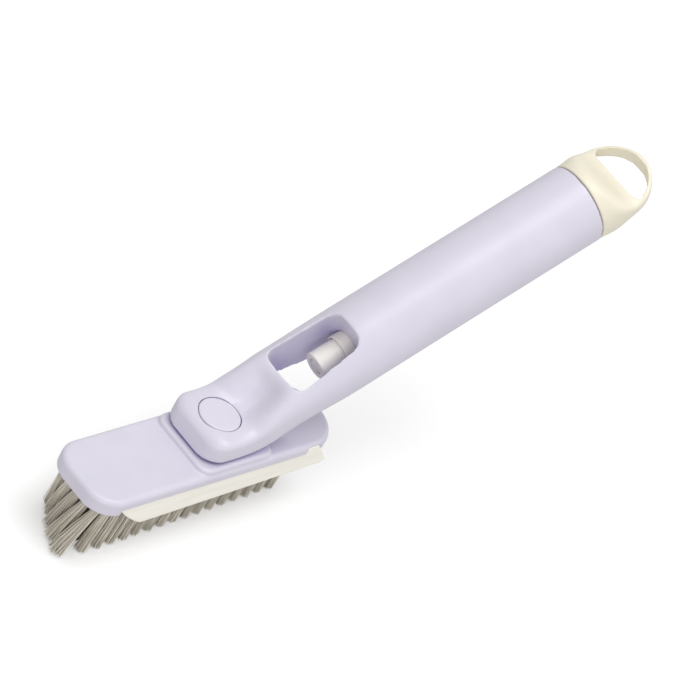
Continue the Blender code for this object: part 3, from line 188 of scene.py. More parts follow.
class NodeBench(Graph):
    """Builds one node material round its Principled shader."""

    def __init__(self, name: str) -> None:
        """Starts a material of that name with an empty Principled shader.

        Args:
            name: Name of the material.
        """
        self.material = bpy.data.materials.new(name)
        self.material.use_nodes = True
        super().__init__(self.material.node_tree)
        self.place = self.node("TexCoord").outputs["Object"]

    def surface(self, **sockets: object) -> Material:
        """Feeds the shader's own sockets, named with underscores, and gives the material.

        Args:
            **sockets: Sockets or constants, by the input's name.

        Returns:
            The material.
        """
        shader = self.tree.nodes["Principled BSDF"]
        for key, value in sockets.items():
            self.feed(shader.inputs[key.replace("_", " ")], value)
        return self.material

    def noise(self, size: float, detail: float = 2.0, stretch: Sequence[float] = (1, 1, 1)
              ) -> Socket:
        """A noise with grains of that size, finer along the stretched axes.

        Args:
            size: Size of the grains.
            detail: Octaves of finer grain.
            stretch: Scale along each axis.

        Returns:
            The noise's value, 0 to 1.
        """
        where = self.node("Mapping", {"Scale": tuple(stretch), "Vector": self.place})
        return self.node("TexNoise", {"Scale": 1.0 / size, "Detail": detail, "Roughness": 0.5,
                                      "Vector": where.outputs["Vector"]}).outputs["Fac"]

    def ramp(self, source: Socket, out_low: float, out_high: float, low: float = 0.3,
             high: float = 0.7) -> Socket:
        """Maps the range of a value from low to high to another range."""
        return self.node("MapRange", {"From Min": low, "From Max": high, "To Min": out_low,
                                      "To Max": out_high, "Value": source}).outputs["Result"]

    def blend(self, share: Socket, first: Colour | Socket, second: Colour) -> Socket:
        """A colour that goes from the first, which may be a socket, to the second.

        Args:
            share: Share of the second colour.
            first: Colour at 0, or a socket.
            second: Colour at 1.

        Returns:
            The colour.
        """
        item = self.node("Mix", {"Factor": share}, data_type="RGBA")
        ends = {s.name: s for s in item.inputs if s.type == "RGBA"}
        self.feed(ends["A"], (*first, 1.0) if isinstance(first, tuple) else first)
        self.feed(ends["B"], (*second, 1.0))
        return [s for s in item.outputs if s.type == "RGBA"][0]

    def mottle(self, share: Socket, colour: Colour, shade: float) -> Socket:
        """A colour that goes to its own darker shade."""
        return self.blend(share, colour, tuple(channel * shade for channel in colour))

    def painted_shade_share(self, reach: float, shut: float, open_up: float) -> Socket:
        """How much a place is shut in, which sets where shade is painted: 1 at the openness shut,
        0 at open_up.
        """
        item = self.node("AmbientOcclusion", {"Distance": reach}, samples=6)
        return self.ramp(item.outputs["AO"], 1.0, 0.0, shut, open_up)

    def bump(self, height: Socket, depth: float, strength: float,
             below: Socket | None = None) -> Socket:
        """A normal bent by a height of 0 to 1 and that depth, over a coarser bump.

        Args:
            height: A height of 0 to 1.
            depth: What a height of 1 measures.
            strength: How far it bends the normal.
            below: Normal of a coarser bump.

        Returns:
            The bent normal.
        """
        inputs = {"Distance": depth, "Strength": strength, "Height": height}
        if below is not None:
            inputs["Normal"] = below
        return self.node("Bump", inputs).outputs["Normal"]


@dataclass(frozen=True)
class MouldedPlastic:
    """Satin injection moulding: a faint flow mottling and a fine spark-eroded texture."""

    name: str
    colour: Colour
    roughness: float = 0.36
    # painted shade: the colour put where walls face each other, and how far away such walls count
    painted_shade_colour: Colour | None = None
    reach: float = 30 * MM
    shade: float = 0.955
    grain: float = 0.34 * MM
    depth: float = 0.010 * MM

    def make(self) -> Material:
        """Builds the node material, with painted shade, a deeper tone, where walls face each
        other.

        Returns:
            The material.
        """
        bench = NodeBench(self.name)
        flow = bench.ramp(bench.noise(16 * MM, 4.0), 0.0, 1.0)
        tone = bench.mottle(flow, self.colour, self.shade)
        # painted shade: a deeper colour wherever ambient occlusion finds facing walls
        if self.painted_shade_colour is not None:
            tone = bench.blend(bench.painted_shade_share(self.reach, 0.1, 0.5), tone, self.painted_shade_colour)
        sheen = bench.ramp(bench.noise(5 * MM, 3.0), self.roughness - 0.03, self.roughness + 0.04)
        wavy = bench.bump(bench.noise(2.4 * MM), self.depth, 0.35)
        eroded = bench.bump(bench.noise(self.grain), self.depth, 0.5, wavy)
        return bench.surface(Base_Color=tone, Roughness=sheen, Normal=eroded, Coat_Weight=0.06,
                             Coat_Roughness=0.25, IOR=1.47)


@dataclass(frozen=True)
class SoftRubber:
    """Matt rubber with a fine powdery skin and slightly darker streaks."""

    name: str
    colour: Colour
    roughness: float = 0.62
    streak: Sequence[float] = (0.12, 1.0, 1.0)

    def make(self) -> Material:
        """Builds the node material.

        Returns:
            The material.
        """
        bench = NodeBench(self.name)
        drag = bench.ramp(bench.noise(3.2 * MM, 4.0, self.streak), 0.0, 1.0, 0.35)
        powder = bench.ramp(bench.noise(1.1 * MM, 3.0), self.roughness - 0.06,
                            self.roughness + 0.06)
        return bench.surface(Base_Color=bench.mottle(drag, self.colour, 0.94), Roughness=powder,
                             Normal=bench.bump(bench.noise(0.22 * MM), 0.012 * MM, 0.5),
                             IOR=1.5, Sheen_Weight=0.08, Sheen_Roughness=0.5)


@dataclass(frozen=True)
class BristleNylon:
    """Crimped nylon filament: each strand has its own tone, and painted shade darkens it deep
    inside the field.
    """

    name: str
    light: Colour
    dark: Colour
    painted_shade_colour: Colour

    def make(self) -> Material:
        """Builds the node material.

        Returns:
            The material.
        """
        bench = NodeBench(self.name)
        # the tone attribute holds each strand's own tone, lowered by painted shade on the inner
        # strands
        tone = bench.node("Attribute", attribute_name="tone").outputs["Fac"]
        # painted shade: a darker colour where ambient occlusion finds strands close round
        colour = bench.blend(bench.painted_shade_share(5 * MM, 0.04, 0.4),
                             bench.blend(tone, self.dark, self.light), self.painted_shade_colour)
        crimp = bench.noise(0.9 * MM, 1.0, (1.0, 1.0, 1.6))
        return bench.surface(Base_Color=colour, IOR=1.53,
                             Roughness=bench.ramp(bench.noise(0.8 * MM), 0.44, 0.58),
                             Normal=bench.bump(crimp, 0.04 * MM, 0.5))


@dataclass(frozen=True)
class SpringSteel:
    """Drawn or stamped steel with fine brushing."""

    name: str
    colour: Colour = (0.56, 0.565, 0.57)
    roughness: float = 0.30

    def make(self) -> Material:
        """Builds the node material.

        Returns:
            The material.
        """
        bench = NodeBench(self.name)
        brushed = bench.noise(0.4 * MM, 4.0, (1.0, 8.0, 8.0))
        worn = bench.ramp(brushed, self.roughness - 0.06, self.roughness + 0.1)
        return bench.surface(
            Base_Color=bench.mottle(bench.ramp(brushed, 0.0, 1.0), self.colour, 0.86),
            Roughness=worn, Normal=bench.bump(brushed, 0.01 * MM, 0.4), Metallic=1.0)


@dataclass(frozen=True)
class FrostedBottle:
    """Blow-moulded bottle wall: milky, slightly uneven in thickness."""

    name: str
    colour: Colour

    def make(self) -> Material:
        """Builds the node material.

        Returns:
            The material.
        """
        bench = NodeBench(self.name)
        wall = bench.ramp(bench.noise(9 * MM, 3.0, (0.3, 1.0, 1.0)), 0.0, 1.0)
        return bench.surface(Base_Color=bench.mottle(wall, self.colour, 0.93),
                             Roughness=bench.ramp(wall, 0.24, 0.34, 0.0, 1.0),
                             Normal=bench.bump(bench.noise(2.5 * MM), 0.03 * MM, 0.4),
                             IOR=1.5, Transmission_Weight=0.45)


class FinishShelf:
    """All finishes of the brush, each made once."""

    def __init__(self) -> None:
        """Mixes every finish."""
        # The lavender's second colour is painted shade, a deeper violet, for its hollows.
        self.lavender = MouldedPlastic("lavender_satin", linear(214, 210, 224),
                                       painted_shade_colour=linear(176, 166, 216)).make()
        self.button = MouldedPlastic("lavender_button", linear(217, 213, 226), 0.33).make()
        self.white = MouldedPlastic("warm_white_moulding", linear(236, 231, 225), 0.3).make()
        self.nozzle = MouldedPlastic("nozzle_white", linear(240, 236, 230), 0.26).make()
        self.cream = MouldedPlastic("cream_moulding", linear(235, 229, 209), 0.4).make()
        self.rubber = SoftRubber("cream_rubber_skin", linear(252, 248, 238)).make()
        self.seal = SoftRubber("seal_rubber_skin", (0.10, 0.10, 0.105), 0.55,
                               (1.0, 1.0, 1.0)).make()
        # The nylon's dark colour is where the painted shade of inner strands tends, and its last
        # colour is painted shade between close strands.
        self.nylon = BristleNylon("bristle_filament", linear(248, 240, 224),
                                  linear(60, 52, 38), linear(104, 94, 76)).make()
        self.steel = SpringSteel("spring_steel").make()
        self.bottle = FrostedBottle("frosted_bottle", (0.78, 0.80, 0.83)).make()


# ----------------------------------------
# Mesh work


def add(name: str, data: bpy.types.ID) -> Object:
    """Puts an object with that data into the scene.

    Args:
        name: Name of the object.
        data: Its mesh, light or camera.

    Returns:
        The new object.
    """
    item = bpy.data.objects.new(name, data)
    bpy.context.scene.collection.objects.link(item)
    return item


def piece(name: str, bm: BMesh, move: Matrix | None = None) -> Object:
    """Turns a bmesh into an object at the origin.

    Args:
        name: Name of the object.
        bm: The mesh work, which is freed.
        move: Transform of its points into the row frame.

    Returns:
        The new object.
    """
    if move is not None:
        bm.transform(move)
    bmesh.ops.recalc_face_normals(bm, faces=bm.faces)
    mesh = bpy.data.meshes.new(name)
    bm.to_mesh(mesh)
    bm.free()
    return add(name, mesh)


def settle(item: Object) -> None:
    """Applies all modifiers of an object.

    Args:
        item: The object.
    """
    bpy.context.view_layer.update()
    graph = bpy.context.evaluated_depsgraph_get()
    mesh = bpy.data.meshes.new_from_object(item.evaluated_get(graph))
    item.modifiers.clear()
    old, item.data = item.data, mesh
    bpy.data.meshes.remove(old)
    mesh.name = item.name


def combine(item: Object, tools: Sequence[Object],
            operation: str = "DIFFERENCE") -> None:
    """Cuts tools from an object, or adds them with UNION, and throws the tools away.

    Args:
        item: The body.
        tools: Bodies to cut away or to add.
        operation: Blender's name of the operation.
    """
    for tool in tools:
        modifier = item.modifiers.new(tool.name, "BOOLEAN")
        modifier.operation = operation
        modifier.object = tool
        modifier.solver = "EXACT"
    settle(item)
    for tool in tools:
        bpy.data.objects.remove(tool)


def soften(item: Object, voxel: float, rounds: int,
           stronger: Callable[[np.ndarray], np.ndarray] | None = None, more: int = 0,
           keep: float = 1.0, levels: int = 8) -> None:
    """Remeshes a body evenly and relaxes its edges into moulded radii.

    Args:
        item: The closed body.
        voxel: Edge length of the new mesh.
        rounds: Rounds of smoothing everywhere.
        stronger: Gives each point's share of the further rounds from the points' places.
        more: Number of further rounds.
        keep: Share of the faces kept by the closing decimation.
        levels: Number of steps of those shares.
    """
    def change(kind: str, **values: object) -> None:
        """Adds a modifier with those settings.

        Args:
            kind: Blender's name of the modifier.
            **values: Its settings.
        """
        modifier = item.modifiers.new(kind.lower(), kind)
        for key, value in values.items():
            setattr(modifier, key, value)

    change("REMESH", mode="VOXEL", voxel_size=voxel, adaptivity=0.0)
    settle(item)
    change("SMOOTH", factor=0.5, iterations=rounds)
    if stronger is not None:
        places = np.empty(len(item.data.vertices) * 3, np.float32)
        item.data.vertices.foreach_get("co", places)
        steps = np.round(np.clip(stronger(places.reshape(-1, 3)), 0, 1) * levels).astype(int)
        group = item.vertex_groups.new(name="soft")
        for level in range(1, levels + 1):
            group.add(np.nonzero(steps == level)[0].tolist(), level / levels, "REPLACE")
        change("SMOOTH", factor=0.5, iterations=more, vertex_group="soft")
    settle(item)
    item.vertex_groups.clear()
    if keep < 1.0:
        change("DECIMATE", ratio=keep)
        settle(item)
    item.data.shade_smooth()


def shade(item: Object, degrees: float) -> None:
    """Shades a piece smooth except across edges sharper than that angle."""
    item.data.shade_smooth()
    item.data.set_sharp_from_angle(angle=math.radians(degrees))


def skin(rings: Iterable[Ring], closed: bool = False) -> BMesh:
    """Skins rings into a body and caps its open ends.

    Args:
        rings: Rings of equal length, or single pole points.
        closed: Whether the last ring meets the first.

    Returns:
        The mesh work.
    """
    bm = bmesh.new()
    loops = [[bm.verts.new(point) for point in ring] for ring in rings]
    for low, high in zip(loops, loops[1:] + (loops[:1] if closed else [])):
        count = max(len(low), len(high))
        for i in range(count):
            j = (i + 1) % count
            if len(low) == 1:
                bm.faces.new((low[0], high[i], high[j]))
            elif len(high) == 1:
                bm.faces.new((low[i], low[j], high[0]))
            else:
                bm.faces.new((low[i], low[j], high[j], high[i]))
    if not closed:
        for loop in (loops[0], loops[-1]):
            if len(loop) > 2:
                bm.faces.new(loop)
    return bm


def stack(levels: Iterable[tuple[Outline, float]]) -> BMesh:
    """A body skinned over plans at their heights."""
    return skin([Vector((x, y, z)) for x, y in plan] for plan, z in levels)


def slab(outline: Outline, low: float, high: float) -> BMesh:
    """A plate of that plan between two heights."""
    return stack([(outline, low), (outline, high)])


def block(x0: float, x1: float, y0: float, y1: float, z0: float, z1: float) -> BMesh:
    """A rectangular body between two corners."""
    return slab([(x0, y0), (x1, y0), (x1, y1), (x0, y1)], z0, z1)


def bar(middle: float, length: float, section: Outline) -> BMesh:
    """A body of one section in y and z along x."""
    half = length / 2
    return skin([Vector((middle + x, y, z)) for y, z in section] for x in (-half, half))


def turned(profile: Iterable[Point], segments: int = 96, closed: bool = False) -> BMesh:
    """A body turned about the handle's axis.

    Args:
        profile: Pairs of place along the axis and radius.
        segments: Points round the axis.
        closed: Whether the profile is a closed loop.

    Returns:
        The mesh work.
    """
    turn = [2 * math.pi * (i + 0.5) / segments for i in range(segments)]
    return skin(([Vector((along, radius * math.cos(a), radius * math.sin(a)))
                  for a in (turn if radius else [0.0])] for along, radius in profile), closed)


def upright(x: float, y: float, profile: Iterable[Point], segments: int) -> BMesh:
    """A body turned about a vertical line, from pairs of height and radius.

    Args:
        x: Place of the line along the head.
        y: Its place across the head.
        profile: Pairs of height and radius.
        segments: Points round the line.

    Returns:
        The mesh work.
    """
    turn = [2 * math.pi * i / segments for i in range(segments)]
    return skin([Vector((x + radius * math.cos(a), y + radius * math.sin(a), height))
                 for a in (turn if radius else [0.0])] for height, radius in profile)


def quarter(steps: int) -> list[Point]:
    """Pairs of 1 - cosine and sine in equal steps over a quarter turn."""
    angles = (0.5 * math.pi * k / steps for k in range(steps + 1))
    return [(1 - math.cos(angle), math.sin(angle)) for angle in angles]


def rounded(x0: float, x1: float, y0: float, y1: float, front: float, rear: float,
            steps: int = 16) -> Outline:
    """Plan outline of a rounded rectangle.

    Args:
        x0: Front edge.
        x1: Rear edge.
        y0: Near edge.
        y1: Far edge.
        front: Radius of the front corners.
        rear: Radius of the rear corners.
        steps: Pieces of each corner's arc.

    Returns:
        The outline's points in order.
    """
    corners = ((x1 - rear, y1 - rear, rear, 0.0), (x0 + front, y1 - front, front, 0.5 * math.pi),
               (x0 + front, y0 + front, front, math.pi),
               (x1 - rear, y0 + rear, rear, 1.5 * math.pi))
    return [(cx + radius * math.cos(start + 0.5 * math.pi * k / steps),
             cy + radius * math.sin(start + 0.5 * math.pi * k / steps))
            for cx, cy, radius, start in corners for k in range(steps + 1)]


def signed_power(value: float, power: float) -> float:
    """A power that keeps the sign."""
    return math.copysign(abs(value) ** power, value)


def mix(start: float, end: float, share: float) -> float:
    """A value that share of the way from start to end."""
    return start + (end - start) * share


def smooth_step(share: float) -> float:
    """Eases a share of 0 to 1 in and out."""
    share = min(1.0, max(0.0, share))
    return share * share * (3 - 2 * share)


def spline_rings(rings: Sequence[Ring], pieces: int) -> list[Ring]:
    """Rings on smooth curves through the given ones.

    Args:
        rings: Rings of equal length.
        pieces: Number of new rings for each gap.

    Returns:
        The denser rings, the given ones among them.
    """
    points = np.array([[tuple(point) for point in ring] for ring in rings], float)
    gaps = np.sqrt(np.linalg.norm(np.diff(points.mean(axis=1), axis=0), axis=1)) + 1e-5
    knots = np.concatenate([[0.0], np.cumsum(gaps)])
    steps = np.diff(points, axis=0) / gaps[:, None, None]
    slopes = np.empty_like(points)
    slopes[0], slopes[-1] = steps[0], steps[-1]
    before, after = gaps[:-1, None, None], gaps[1:, None, None]
    slopes[1:-1] = (steps[:-1] * after + steps[1:] * before) / (before + after)
    dense = []
    for k, width in enumerate(np.diff(knots)):
        for u in (part / pieces for part in range(pieces)):
            dense.append((2 * u ** 3 - 3 * u ** 2 + 1) * points[k]
                         + (u ** 3 - 2 * u ** 2 + u) * width * slopes[k]
                         + (3 * u ** 2 - 2 * u ** 3) * points[k + 1]
                         + (u ** 3 - u ** 2) * width * slopes[k + 1])
    return [[Vector(point) for point in ring] for ring in (*dense, points[-1])]


def dress(item: Object, body: Body, finish: Material, node: str) -> None:
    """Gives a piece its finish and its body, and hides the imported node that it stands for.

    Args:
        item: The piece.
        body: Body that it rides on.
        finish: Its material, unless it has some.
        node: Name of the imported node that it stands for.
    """
    if not item.data.materials:
        item.data.materials.append(finish)
    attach(item, body.value)
    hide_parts(node)
    LOG.info("%s: %d faces on %s", item.name, len(item.data.polygons), body.value)


# ----------------------------------------
# Handle


@dataclass
class HandleShell:
    """The lavender housing: bulb, thumb scoop, window neck and bottle tube, in one moulding."""

    ring_points: int = 112
    tube_bore: float = 14.8 * MM
    tube_start: float = 76.0 * MM
    neck_start: float = 38.0 * MM
    neck_half_width: float = 15.8 * MM
    neck_top: float = 13.0 * MM
    neck_under: float = 9.5 * MM
    neck_square: float = 2.3
    bulb_front: float = -10.2 * MM
    front_draft: float = 1.1 * MM
    bulb_base: float = 2.6 * MM
    bulb_half_width: float = 15.6 * MM
    bulb_corner: float = 7.5 * MM
    bulb_fillet: float = 4.4 * MM
    bulb_squares: tuple[float, float] = (5.0, 9.0)
    scoop_depth: float = 5.6 * MM
    scoop_half_width: float = 12.6 * MM
    window_start: float = 39.8 * MM
    window_front_width: float = 22.2 * MM
    window_rear_width: float = 17.4 * MM
    window_front_corner: float = 4.2 * MM
    window_rear_corner: float = 5.0 * MM
    vent_length: float = 6.0 * MM
    vent_width: float = 0.9 * MM
    socket: tuple[float, float, float, float] = (-8.0 * MM, 14.6 * MM, 25.6 * MM, 3.0 * MM)
    screw_boss: float = 2.3 * MM
    latch_plate: float = 1.7 * MM
    screw_shank: float = 0.9 * MM

    def side_point(self, along: float, above: float) -> Point:
        """A point of the side view in cover coordinates from its place on the handle."""
        point = COVER_FROM_AXIS @ Vector((along, 0.0, above))
        return (point.x, point.z)

    def section(self, top: Point, under: Point, half_width: float, top_power: float,
                under_power: float, dent: float = 0.0) -> Ring:
        """One superellipse ring between a top and an under point of the side view.

        Args:
            top: Highest point, in cover coordinates.
            under: Lowest point.
            half_width: Half the width.
            top_power: Squareness of the upper half.
            under_power: Squareness of the lower half.
            dent: Depth of the thumb scoop here.

        Returns:
            The ring.
        """
        high, low = (Vector((x, 0.0, z)) for x, z in (top, under))
        centre, rise = (high + low) / 2, (high - low) / 2
        ring = []
        for i in range(self.ring_points):
            angle = 2 * math.pi * (i + 0.5) / self.ring_points
            power = 2 / (top_power if math.sin(angle) > 0 else under_power)
            y = half_width * signed_power(math.cos(angle), power)
            point = centre + rise * signed_power(math.sin(angle), power)
            if dent and math.sin(angle) > 0:
                reach = min(1.0, abs(y) / self.scoop_half_width)
                point -= rise.normalized() * dent * (0.5 + 0.5 * math.cos(math.pi * reach))
            ring.append(Vector((point.x, y, point.z)))
        return ring

    def nose(self) -> list[Ring]:
        """The bulb's rounded front.

        Returns:
            The rings, from the front.
        """
        rings = []
        for back, rise in quarter(12):
            open_up = 1 - rise
            x = self.bulb_front + self.bulb_corner * back
            rings.append(self.section(
                (x, BULB_TOP - self.bulb_fillet * open_up),
                (x - self.front_draft * open_up, self.bulb_base + 0.3 * MM * open_up),
                self.bulb_half_width - self.bulb_corner * open_up, *self.bulb_squares))
        return rings

    def neck(self) -> list[Ring]:
        """The rings from the button's deck up the thumb scoop to the round tube.

        Returns:
            The rings, from the front.
        """
        deck_end = (BUTTON_PLACE + 2.0 * MM, BULB_TOP)
        base_end = (self.socket[1] + 2.4 * MM, self.bulb_base)
        top_end = self.side_point(self.neck_start, self.neck_top)
        under_end = self.side_point(self.neck_start, -self.neck_under)

        def between(start: Point, end: Point, share: float, lift: float) -> Point:
            """A point that is those shares of the way along and up."""
            return (mix(start[0], end[0], share), mix(start[1], end[1], lift))

        rings = [self.section(deck_end, (deck_end[0], self.bulb_base), self.bulb_half_width,
                              *self.bulb_squares)]
        for share, lift, under, high, low, dent in (
                (0.30, 0.10, (0.55 * base_end[0], self.bulb_base), 4.6, 8.0, 0.40),
                (0.50, 0.32, (0.92 * base_end[0], self.bulb_base), 4.0, 6.0, 0.9),
                (0.68, 0.55, between(base_end, under_end, 0.30, 0.16), 3.2, 4.6, 1.12),
                (0.85, 0.79, between(base_end, under_end, 0.66, 0.56), 2.7, 3.8, 1.0)):
            rings.append(self.section(between(deck_end, top_end, share, lift), under,
                                      self.bulb_half_width, high, low, dent * self.scoop_depth))
        for k in range(7):
            share = k / 6
            ease = smooth_step(share)
            along = mix(self.neck_start, self.tube_start, share)
            rings.append(self.section(
                self.side_point(along, mix(self.neck_top, TUBE_RADIUS, ease)),
                self.side_point(along, -mix(self.neck_under, TUBE_RADIUS, ease)),
                mix(self.neck_half_width, TUBE_RADIUS, ease),
                mix(self.neck_square, 2.0, ease), 3.4 - 1.4 * ease,
                0.60 * self.scoop_depth * max(0.0, 1 - 2 * share)))
        return rings

    def tube(self) -> list[Ring]:
        """The round tube's rings.

        Returns:
            The rings, from the front.
        """
        return [self.section(self.side_point(along, TUBE_RADIUS),
                             self.side_point(along, -TUBE_RADIUS), TUBE_RADIUS, 2.0, 2.0)
                for along in (self.tube_start + 6 * MM, self.tube_start + 14 * MM, TUBE_END)]

    def window(self) -> Outline:
        """The window in the handle's plane, wider towards the head.

        Returns:
            The outline.
        """
        half = self.window_front_width / 2
        outline = rounded(self.window_start, WINDOW_END, -half, half, self.window_front_corner,
                          self.window_rear_corner)
        taper = 1 - self.window_rear_width / self.window_front_width
        length = WINDOW_END - self.window_start
        return [(x, y * (1 - taper * (x - self.window_start) / length)) for x, y in outline]

    def screw_columns(self, name: str, low: float, high: float, radius: float, segments: int
                      ) -> list[Object]:
        """Upright rods where the retainer's four screws stand.

        Args:
            name: First part of the rods' names.
            low: Height of their lower ends.
            high: Height of their upper ends.
            radius: Their radius.
            segments: Points round each rod.

        Returns:
            The four rods.
        """
        front, rear, width, _ = self.socket
        inset = self.screw_boss + FIT
        half = width / 2 - inset
        return [piece(f"{name}_{i}", upright(x, y, [(low, radius), (high, radius)], segments),
                      ROW_FROM_COVER)
                for i, (x, y) in enumerate((x, y) for x in (front + inset, rear - inset)
                                           for y in (-half, half))]

    def cores(self) -> list[Object]:
        """The hollows with moulded edges, in the row frame.

        Returns:
            The cutting bodies.
        """
        bore = [(BULKHEAD_END, self.tube_bore), (TUBE_END + 5 * MM, self.tube_bore)]
        front, rear, width, corner = self.socket
        ceiling = BULB_TOP - DECK
        chamber = piece("socket_core", slab(
            rounded(front, rear, -width / 2, width / 2, corner, corner, 8),
            self.bulb_base - 3 * MM, ceiling), ROW_FROM_COVER)
        plate_top = self.bulb_base + FIT + self.latch_plate
        combine(chamber, self.screw_columns("boss_core", plate_top + FIT, BULB_TOP,
                                            self.screw_boss, 32))
        return [piece("window_core", slab(self.window(), -2 * TUBE_RADIUS, 2 * TUBE_RADIUS),
                      ROW_FROM_AXIS),
                piece("bore_core", turned(bore), ROW_FROM_AXIS), chamber,
                *self.screw_columns("pilot_core", self.bulb_base, ceiling,
                                    self.screw_shank + FIT, 24)]

    def pierced(self) -> list[Object]:
        """The holes with crisp edges: the collar's, the vent slot and the button's.

        Returns:
            The cutting bodies.
        """
        hole = COLLAR_RADIUS + FIT
        outer = self.window_rear_width / 2 - 0.4 * MM
        radius = BUTTON_RADIUS + FIT
        return [
            piece("collar_core", turned([(WINDOW_END - 2 * MM, hole), (BULKHEAD_END + MM, hole)]),
                  ROW_FROM_AXIS),
            piece("vent_core", block(WINDOW_END - MM, BULKHEAD_END + MM, outer - self.vent_width,
                                     outer, -self.vent_length / 2, self.vent_length / 2),
                  ROW_FROM_AXIS),
            piece("button_core", upright(BUTTON_PLACE, 0.0, [(BULB_TOP - DECK - MM, radius),
                                                             (BULB_TOP + 6 * MM, radius)], 128),
                  ROW_FROM_COVER),
        ]

    def soft_part(self, places: np.ndarray) -> np.ndarray:
        """Full softening, but little on the tube's mouth and on the bulb's base.

        Args:
            places: The points' places.

        Returns:
            Each point's share of the softening.
        """
        along, above = places[:, 0], places[:, 2]
        mouth = np.clip((TUBE_END - 4 * MM - along) / (3 * MM), 0, 1)
        height = along * math.sin(HANDLE_SLOPE) + above * math.cos(HANDLE_SLOPE)
        return mouth * np.clip((height - self.bulb_base - 0.8 * MM) / (1.5 * MM), 0, 1)

    def build(self, finishes: FinishShelf) -> None:
        """Moulds the housing and dresses it.

        Args:
            finishes: Where its finishes come from.
        """
        shell = piece("handle_moulding", skin(spline_rings(
            self.nose() + self.neck() + self.tube(), 3)), ROW_FROM_COVER)
        combine(shell, self.cores())
        shell.data.transform(ROW_FROM_AXIS.inverted())
        soften(shell, 0.5 * MM, 2, self.soft_part, 8, 0.5)
        shell.data.transform(ROW_FROM_AXIS)
        combine(shell, self.pierced())
        shade(shell, 40)
        dress(shell, Body.HANDLE, finishes.lavender, "handle_shell")


@dataclass
class ReleaseButton:
    """The push button with its flange and two wedge legs."""

    crown: float = 0.25 * MM
    dish: float = 0.06 * MM
    rim: float = 0.9 * MM
    rim_drop: float = 0.55 * MM
    flange: float = 1.3 * MM
    flange_thickness: float = 1.0 * MM
    pocket: float = 6.6 * MM
    skin: float = 1.4 * MM
    leg: float = 1.8 * MM
    leg_width: float = 3.0 * MM
    leg_inner: float = 6.2 * MM
    leg_tip: float = 6.4 * MM

    def profile(self) -> list[Point]:
        """Heights and radii from the crown down the skirt and back inside.

        Returns:
            Pairs of height and radius.
        """
        crown = BULB_TOP + self.crown
        flange_top = BULB_TOP - DECK - FIT
        ceiling = BULB_TOP - self.skin
        flat = BUTTON_RADIUS - self.rim
        points = [(crown - self.dish * (k / 8) ** 2, flat * (k / 8)) for k in range(9)]
        points += [(crown - self.dish - self.rim_drop * back, flat + self.rim * rise)
                   for back, rise in quarter(8)[1:]]
        low = flange_top - self.flange_thickness
        wide = BUTTON_RADIUS + self.flange
        return points + [
            (flange_top + 0.1 * MM, BUTTON_RADIUS), (flange_top, BUTTON_RADIUS + 0.1 * MM),
            (flange_top, wide - EDGE), (flange_top - EDGE, wide), (low + EDGE, wide),
            (low, wide - EDGE), (low, self.pocket), (ceiling, self.pocket), (ceiling, 0.0)]

    def build(self, finishes: FinishShelf) -> None:
        """Makes the button and dresses it.

        Args:
            finishes: Where its finishes come from.
        """
        button = piece("push_button", upright(BUTTON_PLACE, 0.0, self.profile(), 112),
                       ROW_FROM_COVER)
        root = BULB_TOP - DECK - FIT - self.flange_thickness + OVERLAP
        legs = []
        for side in (-1, 1):
            inner = side * self.leg_inner
            outer = inner + side * self.leg
            wedge = [(inner, root), (outer, root), (outer, self.leg_tip + 2.0 * MM),
                     (inner + side * 0.6 * MM, self.leg_tip), (inner, self.leg_tip)]
            legs.append(piece(f"button_leg_{side + 2}", bar(BUTTON_PLACE, self.leg_width, wedge),
                              ROW_FROM_COVER))
        combine(button, legs, "UNION")
        shade(button, 32)
        dress(button, Body.BUTTON, finishes.button, "release_button")


# ----------------------------------------
# Cap


